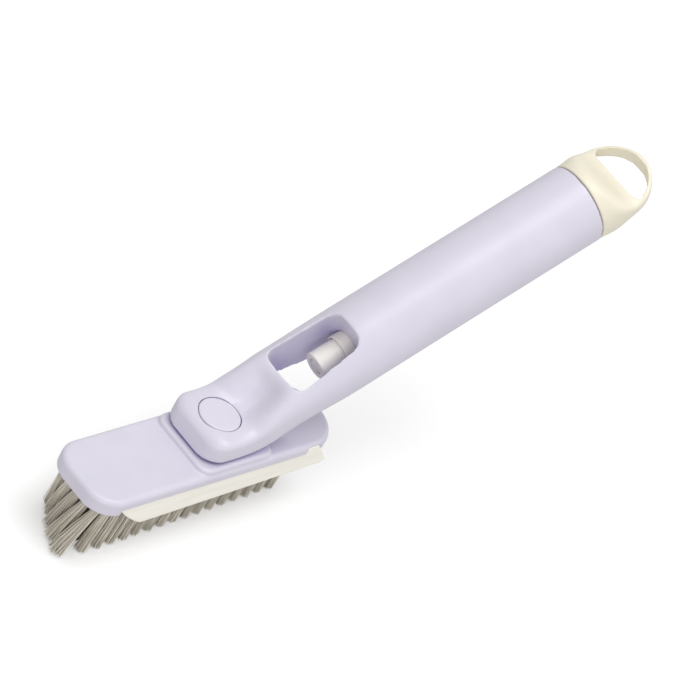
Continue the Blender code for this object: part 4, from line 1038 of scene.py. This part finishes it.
@dataclass
class EndCap:
    """The cream cap with its hanging loop and the plug that closes the bottle."""

    ring_points: int = 112
    start: float = TUBE_END + 0.6 * MM
    round_start: float = 199.0 * MM
    end: float = 217.5 * MM
    taper_start: float = 186.0 * MM
    taper_end: float = 202.0 * MM
    strap_half_height: float = 3.7 * MM
    strap: float = 1.8 * MM
    loop_start: float = 202.2 * MM
    loop_corner: float = 4.4 * MM
    spigot_length: float = 12.0 * MM
    spigot_radius: float = 13.08 * MM
    spigot_bore: float = 10.38 * MM
    step_radius: float = 14.5 * MM
    spigot_chamfer: float = 0.6 * MM
    mouth_inset: float = 3.0 * MM
    seal_wire: float = 0.55 * MM
    seal_groove: float = 1.2 * MM
    groove_place: float = 4.4 * MM
    land: float = 6.0 * MM
    last_turn: float = 1.53

    def half_height(self, along: float) -> float:
        """Half the cap's height at a place on the axis."""
        share = (along - self.taper_start) / (self.taper_end - self.taper_start)
        return mix(TUBE_RADIUS, self.strap_half_height, smooth_step(share))

    def half_width(self, along: float, inset: float = 0.0) -> float:
        """Half the cap's width: a half ellipse beyond the straight part.

        Args:
            along: Place on the axis.
            inset: Margin inside the outer form.

        Returns:
            Half the width.
        """
        reach = self.end - self.round_start - inset
        share = min(1.0, max(0.0, (along - self.round_start) / reach))
        return (TUBE_RADIUS - inset) * math.sqrt(max(0.0, 1 - share * share))

    def ring(self, along: float, bevel: float) -> Ring:
        """One ring of the cap's outer form.

        Args:
            along: Place on the axis.
            bevel: How far it is drawn in.

        Returns:
            The ring.
        """
        height = self.half_height(along) - bevel
        width = self.half_width(along) - bevel
        flat = 1 - (self.half_height(along) - self.strap_half_height) / (
            TUBE_RADIUS - self.strap_half_height)
        power = 2 / (2 + 3 * flat)
        turn = [2 * math.pi * (i + 0.5) / self.ring_points for i in range(self.ring_points)]
        return [Vector((along, width * signed_power(math.cos(a), power),
                        height * signed_power(math.sin(a), power))) for a in turn]

    def loop(self) -> Outline:
        """The hanging hole: straight on the handle's side, a half ellipse round the end.

        Returns:
            The outline of the hole.
        """
        half = self.half_width(self.loop_start, self.strap)
        corner = self.loop_corner
        near = [(self.loop_start + corner * back * 0.9,
                 -half + corner * (1 - rise) * 0.9 + 0.02 * corner)
                for back, rise in quarter(6)[1:-1]]
        reach = self.end - self.strap - self.round_start
        wide = TUBE_RADIUS - self.strap
        first = math.asin((self.loop_start + corner - self.round_start) / reach)
        last = math.acos(self.land / 2 / wide)
        turn = [mix(first, last, k / 24) for k in range(25)]
        arc = [(self.round_start + reach * math.sin(a), wide * math.cos(a)) for a in turn]
        return [(self.loop_start, half - corner), (self.loop_start, -half + corner), *near,
                *((x, -y) for x, y in arc), *arc[::-1], *((x, -y) for x, y in reversed(near))]

    def moulding(self) -> BMesh:
        """The outer form from the seam to the loop's end.

        Returns:
            The mesh work.
        """
        straight, rounding = 16, 22
        stations = [(self.start, 0.4 * MM), (self.start + 0.15 * MM, 0.12 * MM),
                    (self.start + 0.4 * MM, 0.0)]
        stations += [(mix(self.taper_start, self.round_start, k / straight), 0.0)
                     for k in range(straight + 1)]
        reach = self.end - self.round_start
        stations += [(self.round_start + reach * math.sin(self.last_turn * k / rounding), 0.0)
                     for k in range(1, rounding + 1)]
        return skin(self.ring(along, bevel) for along, bevel in stations)

    def spigot(self) -> list[Point]:
        """The closed profile of the plug with its seal's groove.

        Returns:
            Pairs of place along the axis and radius.
        """
        tip, seat = self.start - self.spigot_length, TUBE_END - self.mouth_inset + FIT
        groove, half = tip + self.groove_place, self.seal_wire + FIT
        floor, wide, rear = self.spigot_radius - self.seal_groove, self.spigot_radius, MM
        edge = self.spigot_chamfer
        return [(tip, self.spigot_bore), (tip, wide - edge), (tip + edge, wide),
                (groove - half, wide), (groove - half, floor), (groove + half, floor),
                (groove + half, wide), (seat, wide), (seat, self.step_radius),
                (self.start + rear, self.step_radius), (self.start + rear, self.spigot_bore)]

    def soft_part(self, places: np.ndarray) -> np.ndarray:
        """Softens the loop's edges and leaves the seam and the plug crisp."""
        return np.clip((places[:, 0] - self.start - 1.5 * MM) / (3 * MM), 0, 1)

    def build(self, finishes: FinishShelf) -> None:
        """Moulds the cap and dresses it.

        Args:
            finishes: Where its finishes come from.
        """
        cap = piece("cap_moulding", self.moulding())
        combine(cap, [piece("spigot_body", turned(self.spigot(), closed=True))], "UNION")
        dome = self.start + 4.5 * MM
        bore = turned([(self.start - self.spigot_length - MM, self.spigot_bore),
                       (dome - 2.5 * MM, self.spigot_bore), (dome, self.spigot_bore * 0.7),
                       (dome + 0.5 * MM, 0.0)])
        combine(cap, [piece("cap_bore", bore),
                      piece("loop_core", slab(self.loop(), -TUBE_RADIUS, TUBE_RADIUS))])
        soften(cap, 0.36 * MM, 2, self.soft_part, 8, 0.6)
        cap.data.transform(ROW_FROM_AXIS)
        dress(cap, Body.CAP, finishes.cream, "end_cap")


# ----------------------------------------
# Head


@dataclass
class HeadCover:
    """The lavender cover plate with its raised pad, its plug and the squeegee's notches."""

    front: float = -65.4 * MM
    rear: float = 63.1 * MM
    far: float = 16.5 * MM
    side: float = 7.0 * MM
    skin: float = 2.2 * MM
    wall: float = 1.8 * MM
    front_corner: float = 11.5 * MM
    rear_corner: float = 15.65 * MM
    fillet: float = 2.2 * MM
    pad_front: float = -13.8 * MM
    pad_rear: float = 24.7 * MM
    pad_near: float = -17.0 * MM
    pad_far: float = 15.2 * MM
    pad_height: float = 2.0 * MM
    pad_corner: float = 5.0 * MM
    pad_fillet: float = 1.3 * MM
    plug_length: float = 11.0 * MM
    plug_width: float = 9.2 * MM
    plug_top: float = 6.6 * MM
    groove: tuple[float, float, float] = (4.6 * MM, 1.5 * MM, 1.1 * MM)
    blade_inner: float = -15.8 * MM
    screw_place: float = 52.0 * MM
    screw_spacing: float = 14.0 * MM
    screw_shank: float = 1.1 * MM

    def outline(self, inset: float) -> Outline:
        """The plate's plan, drawn in by a margin."""
        return rounded(self.front + inset, self.rear - inset, HEAD_NEAR + inset, self.far - inset,
                       self.front_corner - inset, self.rear_corner - inset, 20)

    def plate(self) -> BMesh:
        """The plate with its rounded upper edge.

        Returns:
            The mesh work.
        """
        levels = [(self.outline(inset), -self.side + rise)
                  for inset, rise in ((0.6 * MM, 0.0), (0.18 * MM, 0.18 * MM), (0.0, 0.6 * MM))]
        levels += [(self.outline(self.fillet * back), self.fillet * (rise - 1))
                   for back, rise in quarter(10)]
        return stack(levels)

    def pad(self) -> BMesh:
        """The raised seat under the bulb.

        Returns:
            The mesh work.
        """
        def plan(inset: float) -> Outline:
            """The pad's plan, drawn in by a margin.

            Args:
                inset: The margin.

            Returns:
                The outline.
            """
            corner = self.pad_corner - inset
            return rounded(self.pad_front + inset, self.pad_rear - inset,
                           self.pad_near + inset, self.pad_far - inset, corner, corner)
        return stack([(plan(0.0), -0.8 * MM)] + [
            (plan(self.pad_fillet * back), self.pad_height + self.pad_fillet * (rise - 1))
            for back, rise in quarter(5)])

    def plug(self) -> BMesh:
        """The plug with a groove down each side for the latch clip.

        Returns:
            The mesh work.
        """
        low, height, depth = self.groove
        wide = self.plug_width / 2
        face = [(wide, self.pad_height - OVERLAP), (wide, low), (wide - depth, low),
                (wide - depth, low + height), (wide, low + height),
                (wide, self.plug_top - 0.4 * MM), (wide - 0.4 * MM, self.plug_top)]
        return bar(BUTTON_PLACE, self.plug_length, face + [(-y, z) for y, z in reversed(face)])

    def cores(self) -> list[Object]:
        """The hollow under the plate, the blade's notches and the screws' pilot holes.

        Returns:
            The cutting bodies.
        """
        deep = -self.side - 2 * MM
        inside = HEAD_NEAR + self.wall + MM
        outside = HEAD_NEAR - 3 * MM
        pilot = self.screw_shank + FIT
        return [
            piece("recess_core", slab(self.outline(self.wall), deep, -self.skin)),
            piece("blade_notch", block(BLADE_FRONT - FIT, LUG_FRONT, outside, inside, deep,
                                       -BLADE_TOP + FIT)),
            piece("lug_notch", block(LUG_FRONT - FIT, BLADE_REAR + 2 * MM, outside,
                                     self.blade_inner + FIT, deep, -LUG_TOP + FIT)),
            piece("lip_core", block(BLADE_FRONT + BLADE_RUN / 4, LUG_FRONT + MM, HEAD_NEAR + LIP,
                                    inside, deep, -self.skin - 0.2 * MM)),
            *(piece(f"cover_pilot_{i}", upright(self.screw_place, y, [
                (-self.skin - MM, pilot), (-0.8 * MM, pilot)], 24))
              for i, y in enumerate((-self.screw_spacing / 2, self.screw_spacing / 2)))]

    def soft_part(self, places: np.ndarray) -> np.ndarray:
        """Softens the upper side and leaves the plug and the thin lip below as they are."""
        return np.clip((places[:, 2] + 2.2 * MM) / MM, 0, 1) * (
            places[:, 2] < self.pad_height + 0.5 * MM)

    def build(self, finishes: FinishShelf) -> None:
        """Moulds the cover and dresses it.

        Args:
            finishes: Where its finishes come from.
        """
        cover = piece("cover_moulding", self.plate())
        combine(cover, [piece("pad_body", self.pad()), piece("plug_body", self.plug())], "UNION")
        combine(cover, self.cores())
        soften(cover, 0.34 * MM, 2, self.soft_part, 5, 0.5)
        cover.data.transform(ROW_FROM_COVER)
        dress(cover, Body.HEAD, finishes.lavender, "head_cover")


@dataclass
class SqueegeeBlade:
    """The cream rubber blade: a long lip with a wiping chamfer, a tongue and a rear lug."""

    outer: float = -17.5 * MM
    thickness: float = 1.7 * MM
    front_depth: float = 17.9 * MM
    rear_depth: float = 14.6 * MM
    curve: float = 1.75
    curve_steps: int = 24
    chamfer: float = 1.3 * MM
    tongue: float = 1.9 * MM
    lug_length: float = 5.4 * MM

    def depth(self, x: float) -> float:
        """How far the wiping edge hangs below the cover's top face."""
        return mix(self.front_depth, self.rear_depth,
                   (x - BLADE_FRONT) / (BLADE_REAR - BLADE_FRONT))

    def outline(self, raised: float) -> Outline:
        """The blade's side view, its wiping edge raised for the chamfer.

        Args:
            raised: How far the wiping edge is raised.

        Returns:
            Pairs of place along the head and height.
        """
        outline = [(BLADE_FRONT, -BLADE_TOP)]
        drop = self.depth(BLADE_FRONT + BLADE_RUN) - raised - BLADE_TOP
        for k in range(1, self.curve_steps + 1):
            angle = 0.5 * math.pi * k / self.curve_steps
            outline.append((
                BLADE_FRONT + BLADE_RUN * (1 - signed_power(math.cos(angle), self.curve)),
                -BLADE_TOP - drop * math.sin(angle) ** self.curve))
        rear = BLADE_REAR - 3.0 * MM
        low = -self.depth(rear)
        lug_end = LUG_FRONT + self.lug_length
        return outline + [
            (rear, low + raised), (BLADE_REAR - 0.6 * MM, low + 1.0 * MM + raised),
            (BLADE_REAR, low + 2.8 * MM), (lug_end + 1.8 * MM, -LUG_TOP - 2.0 * MM),
            (lug_end, -LUG_TOP), (LUG_FRONT + 0.6 * MM, -LUG_TOP),
            (LUG_FRONT, -LUG_TOP - 0.6 * MM), (LUG_FRONT, -BLADE_TOP)]

    def build(self, finishes: FinishShelf) -> None:
        """Moulds the blade and dresses it.

        Args:
            finishes: Where its finishes come from.
        """
        inner = self.outer + self.thickness
        levels = ((self.outer, self.chamfer), (self.outer + 0.7 * self.thickness, 0.0),
                  (inner, 0.0))
        blade = piece("squeegee_rubber", skin(
            [Vector((x, y, z)) for x, z in self.outline(lift)] for y, lift in levels))
        combine(blade, [piece("tongue_body", block(
            BLADE_FRONT + BLADE_RUN / 3, LUG_FRONT + OVERLAP, HEAD_NEAR + LIP + FIT, inner,
            -BLADE_TOP - MM, -BLADE_TOP + self.tongue))], "UNION")
        soften(blade, 0.27 * MM, 3, keep=0.7)
        blade.data.transform(ROW_FROM_COVER)
        dress(blade, Body.HEAD, finishes.rubber, "squeegee_blade")


@dataclass
class BristleField:
    """Strips of backing with rows of tufts, each tuft many fine crimped strands."""

    pitch: float = 6.4 * MM
    rows: int = 5
    row_pitch: float = 5.5 * MM
    ahead: int = 9
    columns: tuple[int, ...] = (2, 3, 3, 3, 3, 3)
    backed: int = 16
    strands: int = 140
    levels: int = 5
    sides: int = 4
    strand_radius: float = 0.13 * MM
    root_radius: float = 1.15 * MM
    tip_length: float = 2.3 * MM
    tip_width: float = 2.15 * MM
    front_flare: float = 0.65
    front_lift: float = 0.8 * MM
    bend: float = 1.2
    ragged: float = 0.17 * MM
    decay: float = 0.2
    front_lean: tuple[float, ...] = (5.4 * MM, 4.4 * MM, 2.7 * MM, -0.5 * MM, -3.0 * MM)
    front_side: tuple[float, ...] = (3.1 * MM, 3.2 * MM, 2.4 * MM, 1.2 * MM, -1.0 * MM)
    near_lean: tuple[float, ...] = (4.8 * MM, 3.1 * MM, 1.6 * MM, 0.5 * MM, 0.0)
    front_spread: float = 1.0 * MM
    rear_gather: float = 2.1 * MM
    golden_angle: float = 2.39996
    stray: float = 0.25
    reach: tuple[float, float] = (0.88, 1.06)
    waves: tuple[float, float] = (0.12 * MM, 0.05 * MM)
    taper: float = 0.25
    tones: tuple[float, float] = (0.64, 1.0)
    # painted shade: inner strands darkened by this share at the root, less by the fade towards the
    # tip
    painted_inner_shade: float = 0.93
    painted_inner_shade_fade: float = 0.3
    backing_tone: float = 0.2
    block_top: float = -5.2 * MM
    block_thickness: float = 2.2 * MM
    buried: float = 0.4 * MM
    block_front: float = -63.3 * MM
    block_near: float = -15.5 * MM
    block_far: float = 14.4 * MM
    block_corner: float = 0.4 * MM
    front_corner: float = 9.4 * MM

    def tuft(self, column: int, row: int, dice: random.Random) -> list[tuple[float, ...]]:
        """The strands of one tuft, in cover coordinates.

        Args:
            column: Number of the tuft along the head, from the front.
            row: Number of its row, from the near side.
            dice: Source of the scatter.

        Returns:
            Root, tip and whether it stands inside the field, seven numbers for each strand.
        """
        last = sum(self.columns) - 1
        inner = 0 < row < self.rows - 1 and 0 < column < last
        fade = self.decay ** column
        run = column / last
        lean = -self.front_lean[row] * fade - self.near_lean[row] * (1 - run)
        side = self.front_side[row] * fade + (1 - 2 * row / (self.rows - 1)) * (
            self.rear_gather * run - self.front_spread * (1 - run))
        wide = self.tip_width * (1 + self.front_flare * fade)
        long = self.tip_length * (1 + 0.4 * self.front_flare * fade)
        x0 = self.pitch * (column - self.ahead)
        y0 = self.row_pitch * (row - (self.rows - 1) / 2)
        low = self.block_top - self.block_thickness + self.buried
        strands = []
        for k in range(self.strands):
            share = math.sqrt((k + 0.5) / self.strands)
            angle = k * self.golden_angle + dice.uniform(-self.stray, self.stray)
            dx, dy = share * math.cos(angle), share * math.sin(angle)
            reach = dice.uniform(*self.reach)
            strands.append((x0 + self.root_radius * dx, y0 + self.root_radius * dy, low,
                            x0 + lean + reach * long * dx + dice.gauss(0, self.ragged),
                            y0 + side + reach * wide * dy + dice.gauss(0, self.ragged),
                            -HEAD_HEIGHT + abs(dice.gauss(0, 1.6 * self.ragged))
                            + self.front_lift * fade + 0.02 * MM, float(inner)))
        return strands

    def filaments(self, strands: np.ndarray, seed: int) -> tuple[np.ndarray, list, np.ndarray]:
        """Slightly wavy strands from their roots to their tips.

        Args:
            strands: Rows of root, tip and whether the strand stands inside the field, where it
                gets painted shade.
            seed: Seed of the waves.

        Returns:
            Points, faces and each point's tone, darkened by painted shade on the inner strands.
        """
        draw = np.random.default_rng(seed)
        roots, tips, inner = strands[:, None, :3], strands[:, None, 3:6], strands[:, 6:, None]
        count, levels, sides = len(strands), self.levels, self.sides
        share = np.linspace(0.0, 1.0, levels)[None, :, None]
        gone = np.concatenate([np.repeat(1 - (1 - share) ** self.bend, 2, axis=2), share], axis=2)
        line = roots * (1 - gone) + tips * gone
        line[:, :, :2] += sum(
            draw.normal(0, size, (count, 1, 2)) * np.sin(turns * np.pi * share)
            for turns, size in enumerate(self.waves, 1))
        turn = draw.uniform(0, math.pi, (count, 1)) + np.arange(sides)[None, :] * 0.5 * np.pi
        spoke = np.stack([np.cos(turn), np.sin(turn), np.zeros_like(turn)], axis=-1)
        width = self.strand_radius * (1.0 - self.taper * share[..., None])
        points = line[:, :, None, :] + spoke[:, None, :, :] * width
        corner = np.arange(levels * sides).reshape(levels, sides)
        turned_on = np.roll(corner, -1, axis=1)
        faces = np.stack([corner[:-1], turned_on[:-1], turned_on[1:], corner[1:]], axis=-1)
        faces = np.vstack([faces.reshape(-1, 4), corner[0][::-1], corner[-1]])
        faces = (faces[None] + np.arange(count)[:, None, None] * (levels * sides)).reshape(-1, 4)
        tone = draw.uniform(*self.tones, (count, 1, 1))
        # painted shade: inner strands darker, most at their roots
        tone = tone * (1 - inner * (self.painted_inner_shade - self.painted_inner_shade_fade * share))
        tone = np.broadcast_to(tone, (count, levels, sides))
        return points.reshape(-1, 3), faces.tolist(), tone.reshape(-1)

    def backing(self, first: int, last: int) -> Outline:
        """The plan of a strip's backing, which ends at the last backed column.

        Args:
            first: First column of the strip.
            last: Its last column.

        Returns:
            The outline.
        """
        x0 = self.block_front if first == 0 else (
            self.pitch * (first - self.ahead) - self.pitch / 2 + FIT / 2)
        x1 = (self.pitch * (min(last, self.backed - 1) - self.ahead) + self.pitch / 2 - FIT / 2)
        return rounded(x0, x1, self.block_near, self.block_far,
                       self.front_corner if first == 0 else self.block_corner,
                       self.block_corner, 6)

    def strip(self, number: int, first: int, last: int, finishes: FinishShelf) -> None:
        """Makes one strip of backing with its tufts and dresses it.

        Args:
            number: Number of the strip from the front.
            first: Its first column.
            last: Its last column.
            finishes: Where its finishes come from.
        """
        dice = random.Random(4100 + number)
        strands = [strand for column in range(first, last + 1) for row in range(self.rows)
                   for strand in self.tuft(column, row, dice)]
        points, faces, tone = self.filaments(np.array(strands), 700 + number)
        plan = self.backing(first, last)
        base = np.array([(x, y, z) for z in (self.block_top - self.block_thickness,
                                             self.block_top) for x, y in plan])
        start, n = len(points), len(plan)
        low, high = range(start, start + n), range(start + n, start + 2 * n)
        walls = [(low[i], low[(i + 1) % n], high[(i + 1) % n], high[i]) for i in range(n)]
        walls += [tuple(low)[::-1], tuple(high)]
        mesh = bpy.data.meshes.new(f"tuft_strip_{number}")
        mesh.from_pydata(np.vstack([points, base]).tolist(), [], faces + walls)
        # the tone attribute also carries the painted shade of the inner strands
        mesh.attributes.new("tone", "FLOAT", "POINT").data.foreach_set(
            "value", np.append(tone, np.full(len(base), self.backing_tone)).astype(np.float32))
        mesh.materials.append(finishes.nylon)
        mesh.materials.append(finishes.white)
        mesh.polygons.foreach_set("material_index", [0] * len(faces) + [1] * len(walls))
        mesh.transform(ROW_FROM_COVER)
        item = add(mesh.name, mesh)
        shade(item, 60)
        dress(item, Body.HEAD, finishes.nylon,
              "front_tufts" if number == 0 else f"bristle_strip_{number}")

    def build(self, finishes: FinishShelf) -> None:
        """Makes every strip of the field.

        Args:
            finishes: Where its finishes come from.
        """
        first = 0
        for number, width in enumerate(self.columns):
            self.strip(number, first, first + width - 1, finishes)
            first += width


# ----------------------------------------
# Spray pump


@dataclass
class SprayPump:
    """The pieces of the pump that show in the window: nozzle, insert and collar."""

    nozzle_start: float = 56.2 * MM
    nozzle_end: float = 69.6 * MM
    nozzle_radius: float = 5.75 * MM
    nozzle_wall: float = 0.85 * MM
    nozzle_edge: float = 0.55 * MM
    deck: float = 60.0 * MM
    deck_thickness: float = 1.0 * MM
    stem_radius: float = 1.2 * MM
    stem_wall: float = 0.9 * MM
    insert_radius: float = 2.9 * MM
    insert_thickness: float = 0.7 * MM
    orifice: float = 0.3 * MM
    collar_start: float = 67.3 * MM
    collar_edge: float = 0.35 * MM
    neck_radius: float = 5.05 * MM
    grip_start: float = 74.2 * MM

    def nozzle(self) -> list[Point]:
        """The actuator's profile, from its recessed face over the rim to the hollow behind.

        Returns:
            Pairs of place along the axis and radius.
        """
        start, rear, radius = self.nozzle_start, self.nozzle_end, self.nozzle_radius
        deck_end = self.deck + self.deck_thickness
        floor = start + (self.insert_thickness + 2 * FIT)
        socket = self.stem_radius + FIT
        seat = self.insert_radius + FIT
        edge, inside = self.nozzle_edge, radius - self.nozzle_wall
        return [(floor, 0.0), (floor, seat), (start + 0.2 * MM, seat),
                (start + 0.05 * MM, seat + 0.1 * MM), (start, seat + 0.25 * MM),
                *((start + edge * back, radius - edge + edge * rise) for back, rise in quarter(8)),
                (rear - EDGE, radius), (rear, radius - EDGE), (rear, inside), (self.deck, inside),
                (self.deck, socket + self.stem_wall), (rear - MM, socket + self.stem_wall),
                (rear - MM, socket), (deck_end, socket), (deck_end, 0.0)]

    def insert(self) -> list[Point]:
        """The disc with the orifice and its small funnel.

        Returns:
            Pairs of place along the axis and radius.
        """
        start = self.nozzle_start + FIT
        end = start + self.insert_thickness
        return [(end, self.orifice), (start + 0.35 * MM, self.orifice),
                (start + 0.05 * MM, 0.75 * MM), (start, 0.9 * MM), (start, 1.7 * MM),
                (start + 0.12 * MM, 1.8 * MM), (start + 0.12 * MM, 2.1 * MM), (start, 2.2 * MM),
                (start, self.insert_radius - EDGE), (start + EDGE, self.insert_radius),
                (end, self.insert_radius)]

    def collar(self) -> list[Point]:
        """The ring that guides the nozzle and grips the bottle's neck.

        Returns:
            Pairs of place along the axis and radius.
        """
        rear = BULKHEAD_END + MM
        guide, grip = self.nozzle_radius + FIT, self.neck_radius + FIT
        start, edge = self.collar_start, self.collar_edge
        return [(start + EDGE, guide), (start, guide + EDGE),
                *((start + edge * back, COLLAR_RADIUS - edge + edge * rise)
                  for back, rise in quarter(6)),
                (rear, COLLAR_RADIUS), (rear, grip), (self.grip_start, grip),
                (self.grip_start, guide)]

    def build(self, finishes: FinishShelf) -> None:
        """Turns the three pieces and dresses them.

        Args:
            finishes: Where its finishes come from.
        """
        for name, body, finish, node, mesh in (
                ("spray_actuator", Body.NOZZLE, finishes.nozzle, "spray_nozzle",
                 turned(self.nozzle())),
                ("spray_disc", Body.NOZZLE, finishes.white, "nozzle_insert",
                 turned(self.insert(), 64, closed=True)),
                ("nozzle_ring", Body.HANDLE, finishes.white, "pump_collar",
                 turned(self.collar(), closed=True))):
            item = piece(name, mesh, ROW_FROM_AXIS)
            shade(item, 30)
            dress(item, body, finish, node)


@dataclass
class InnerWorks:
    """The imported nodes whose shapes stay, each with its own finish."""

    white: tuple[str, ...] = ("latch_housing", "pump_barrel", "pump_stem", "bristle_base")
    steel: tuple[str, ...] = ("latch_clip", "latch_screw_1", "latch_screw_2", "latch_screw_3",
                              "latch_screw_4", "button_spring", "pump_spring", "inlet_ball",
                              "head_screw_1", "head_screw_2")
    seal: tuple[str, ...] = ("pump_piston", "cap_seal")
    bottle: tuple[str, ...] = ("liquid_bottle",)

    def build(self, finishes: FinishShelf) -> None:
        """Puts the finishes on the nodes.

        Args:
            finishes: Where its finishes come from.
        """
        for kind in ("white", "steel", "seal", "bottle"):
            for name in getattr(self, kind):
                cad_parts[name].material_slots[0].material = getattr(finishes, kind)
                LOG.info("%s keeps its shape", name)


# ----------------------------------------
# Studio


@dataclass
class Studio:
    """Pale floor, soft lights, white surroundings and the photograph's camera."""

    azimuth: float = -60.38
    elevation: float = 37.20
    roll: float = -30.53
    focal: float = 5000.0
    pixels_per_mm: float = 2.63
    origin: tuple[float, float] = (202.74, 438.44)
    image: float = 700.0
    sensor: float = 36.0
    clip: tuple[float, float] = (0.1, 20.0)
    floor_half: float = 4.0
    floor_colour: float = 0.70
    floor_glow: float = 0.36
    ambient: float = 0.60
    aim: tuple[float, float, float] = (0.04, 0.0, 0.05)
    lamps: tuple[tuple, ...] = (
        ("top_light", (0.3, -0.15, 1.5), 0.9, 10.5),
        ("side_light", (-0.95, -1.05, 0.6), 0.8, 5.4))

    def camera(self) -> None:
        """Sets up the camera at the photograph's viewing angle."""
        az, el, roll = (math.radians(v) for v in (self.azimuth, self.elevation, self.roll))
        forward = Vector((-math.sin(az) * math.cos(el), math.cos(az) * math.cos(el),
                          -math.sin(el)))
        level = Vector((math.cos(az), math.sin(az), 0.0))
        up = level.cross(forward)
        right = math.cos(roll) * level - math.sin(roll) * up
        top = math.sin(roll) * level + math.cos(roll) * up
        shift_x = (self.origin[0] - self.image / 2) / self.pixels_per_mm
        shift_y = -(self.origin[1] - self.image / 2) / self.pixels_per_mm
        place = (-forward * (self.focal / self.pixels_per_mm) - right * shift_x - top * shift_y
                 + Vector((0.0, 0.0, HEAD_HEIGHT / MM))) * MM
        data = bpy.data.cameras.new("camera")
        data.sensor_width = self.sensor
        data.sensor_fit = "HORIZONTAL"
        data.lens = self.sensor * self.focal / self.image
        data.clip_start, data.clip_end = self.clip
        item = add("camera", data)
        item.matrix_world = Matrix.Translation(place) @ Matrix(
            (right, top, -forward)).transposed().to_4x4()
        bpy.context.scene.camera = item

    def floor(self) -> None:
        """A wide pale floor that shows the shadow from above and nothing from below."""
        half = self.floor_half
        mesh = bpy.data.meshes.new("floor")
        mesh.from_pydata([(-half, -half, 0.0), (half, -half, 0.0), (half, half, 0.0),
                          (-half, half, 0.0)], [], [(0, 1, 2, 3)])
        material = bpy.data.materials.new("pale_floor")
        material.use_nodes = True
        graph = Graph(material.node_tree)
        graph.tree.nodes.clear()
        diffuse = graph.node("BsdfDiffuse", {"Color": (*(self.floor_colour,) * 3, 1.0)})
        level = graph.node("Math", {0: graph.node("LightPath").outputs["Is Camera Ray"],
                                    1: self.floor_glow}, operation="MULTIPLY")
        glow = graph.node("Emission", {"Color": (1.0, 1.0, 1.0, 1.0),
                                       "Strength": level.outputs[0]})
        both = graph.node("AddShader", {0: diffuse.outputs[0], 1: glow.outputs[0]})
        mixed = graph.node("MixShader", {
            0: graph.node("NewGeometry").outputs["Backfacing"], 1: both.outputs[0],
            2: graph.node("BsdfTransparent").outputs[0]})
        graph.node("OutputMaterial", {"Surface": mixed.outputs[0]})
        mesh.materials.append(material)
        add("floor", mesh)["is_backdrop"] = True

    def surroundings(self) -> None:
        """White where the camera, gloss or glass looks, and a softer level as light."""
        world = bpy.data.worlds.new("studio")
        bpy.context.scene.world = world
        world.use_nodes = True
        graph = Graph(world.node_tree)
        graph.tree.nodes.clear()
        light, seen = (graph.node("Background", {"Color": (1.0, 1.0, 1.0, 1.0), "Strength": level})
                       for level in (self.ambient, 1.0))
        path = graph.node("LightPath")
        either = path.outputs["Is Camera Ray"]
        for name in ("Is Glossy Ray", "Is Transmission Ray"):
            either = graph.node("Math", {0: either, 1: path.outputs[name]},
                                operation="MAXIMUM").outputs[0]
        mixed = graph.node("MixShader", {0: either, 1: light.outputs[0], 2: seen.outputs[0]})
        graph.node("OutputWorld", {"Surface": mixed.outputs[0]})

    def lamp(self, name: str, place: tuple[float, float, float], size: float, power: float
             ) -> None:
        """Hangs a square soft light of that size and power, aimed at the brush.

        Args:
            name: Name of the light.
            place: Where it hangs.
            size: Length of its side.
            power: Its power in watts.
        """
        data = bpy.data.lights.new(name, "AREA")
        data.shape = "SQUARE"
        data.size = size
        data.energy = power
        item = add(name, data)
        item.location = place
        towards = Vector(self.aim) - Vector(place)
        item.rotation_euler = towards.to_track_quat("-Z", "Y").to_euler()

    def build(self) -> None:
        """Sets the whole studio up."""
        bpy.context.scene.view_settings.view_transform = "Standard"
        self.camera()
        self.floor()
        self.surroundings()
        for lamp in self.lamps:
            self.lamp(*lamp)


def corners(box: object) -> list[list[float]]:
    """A box as plain lists of numbers."""
    return [[float(value) for value in corner] for corner in box]


def main() -> None:
    """Builds the studio and every piece in order."""
    logging.basicConfig(level=logging.INFO, format="%(name)s %(message)s")
    Studio().build()
    finishes = FinishShelf()
    for group in (HandleShell(), ReleaseButton(), EndCap(), HeadCover(), SqueegeeBlade(),
                  BristleField(), SprayPump(), InnerWorks()):
        group.build(finishes)
    {"cad": corners(CAD_BOX), "visual": corners(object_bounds())}


if __name__ == "__main__":
    main()
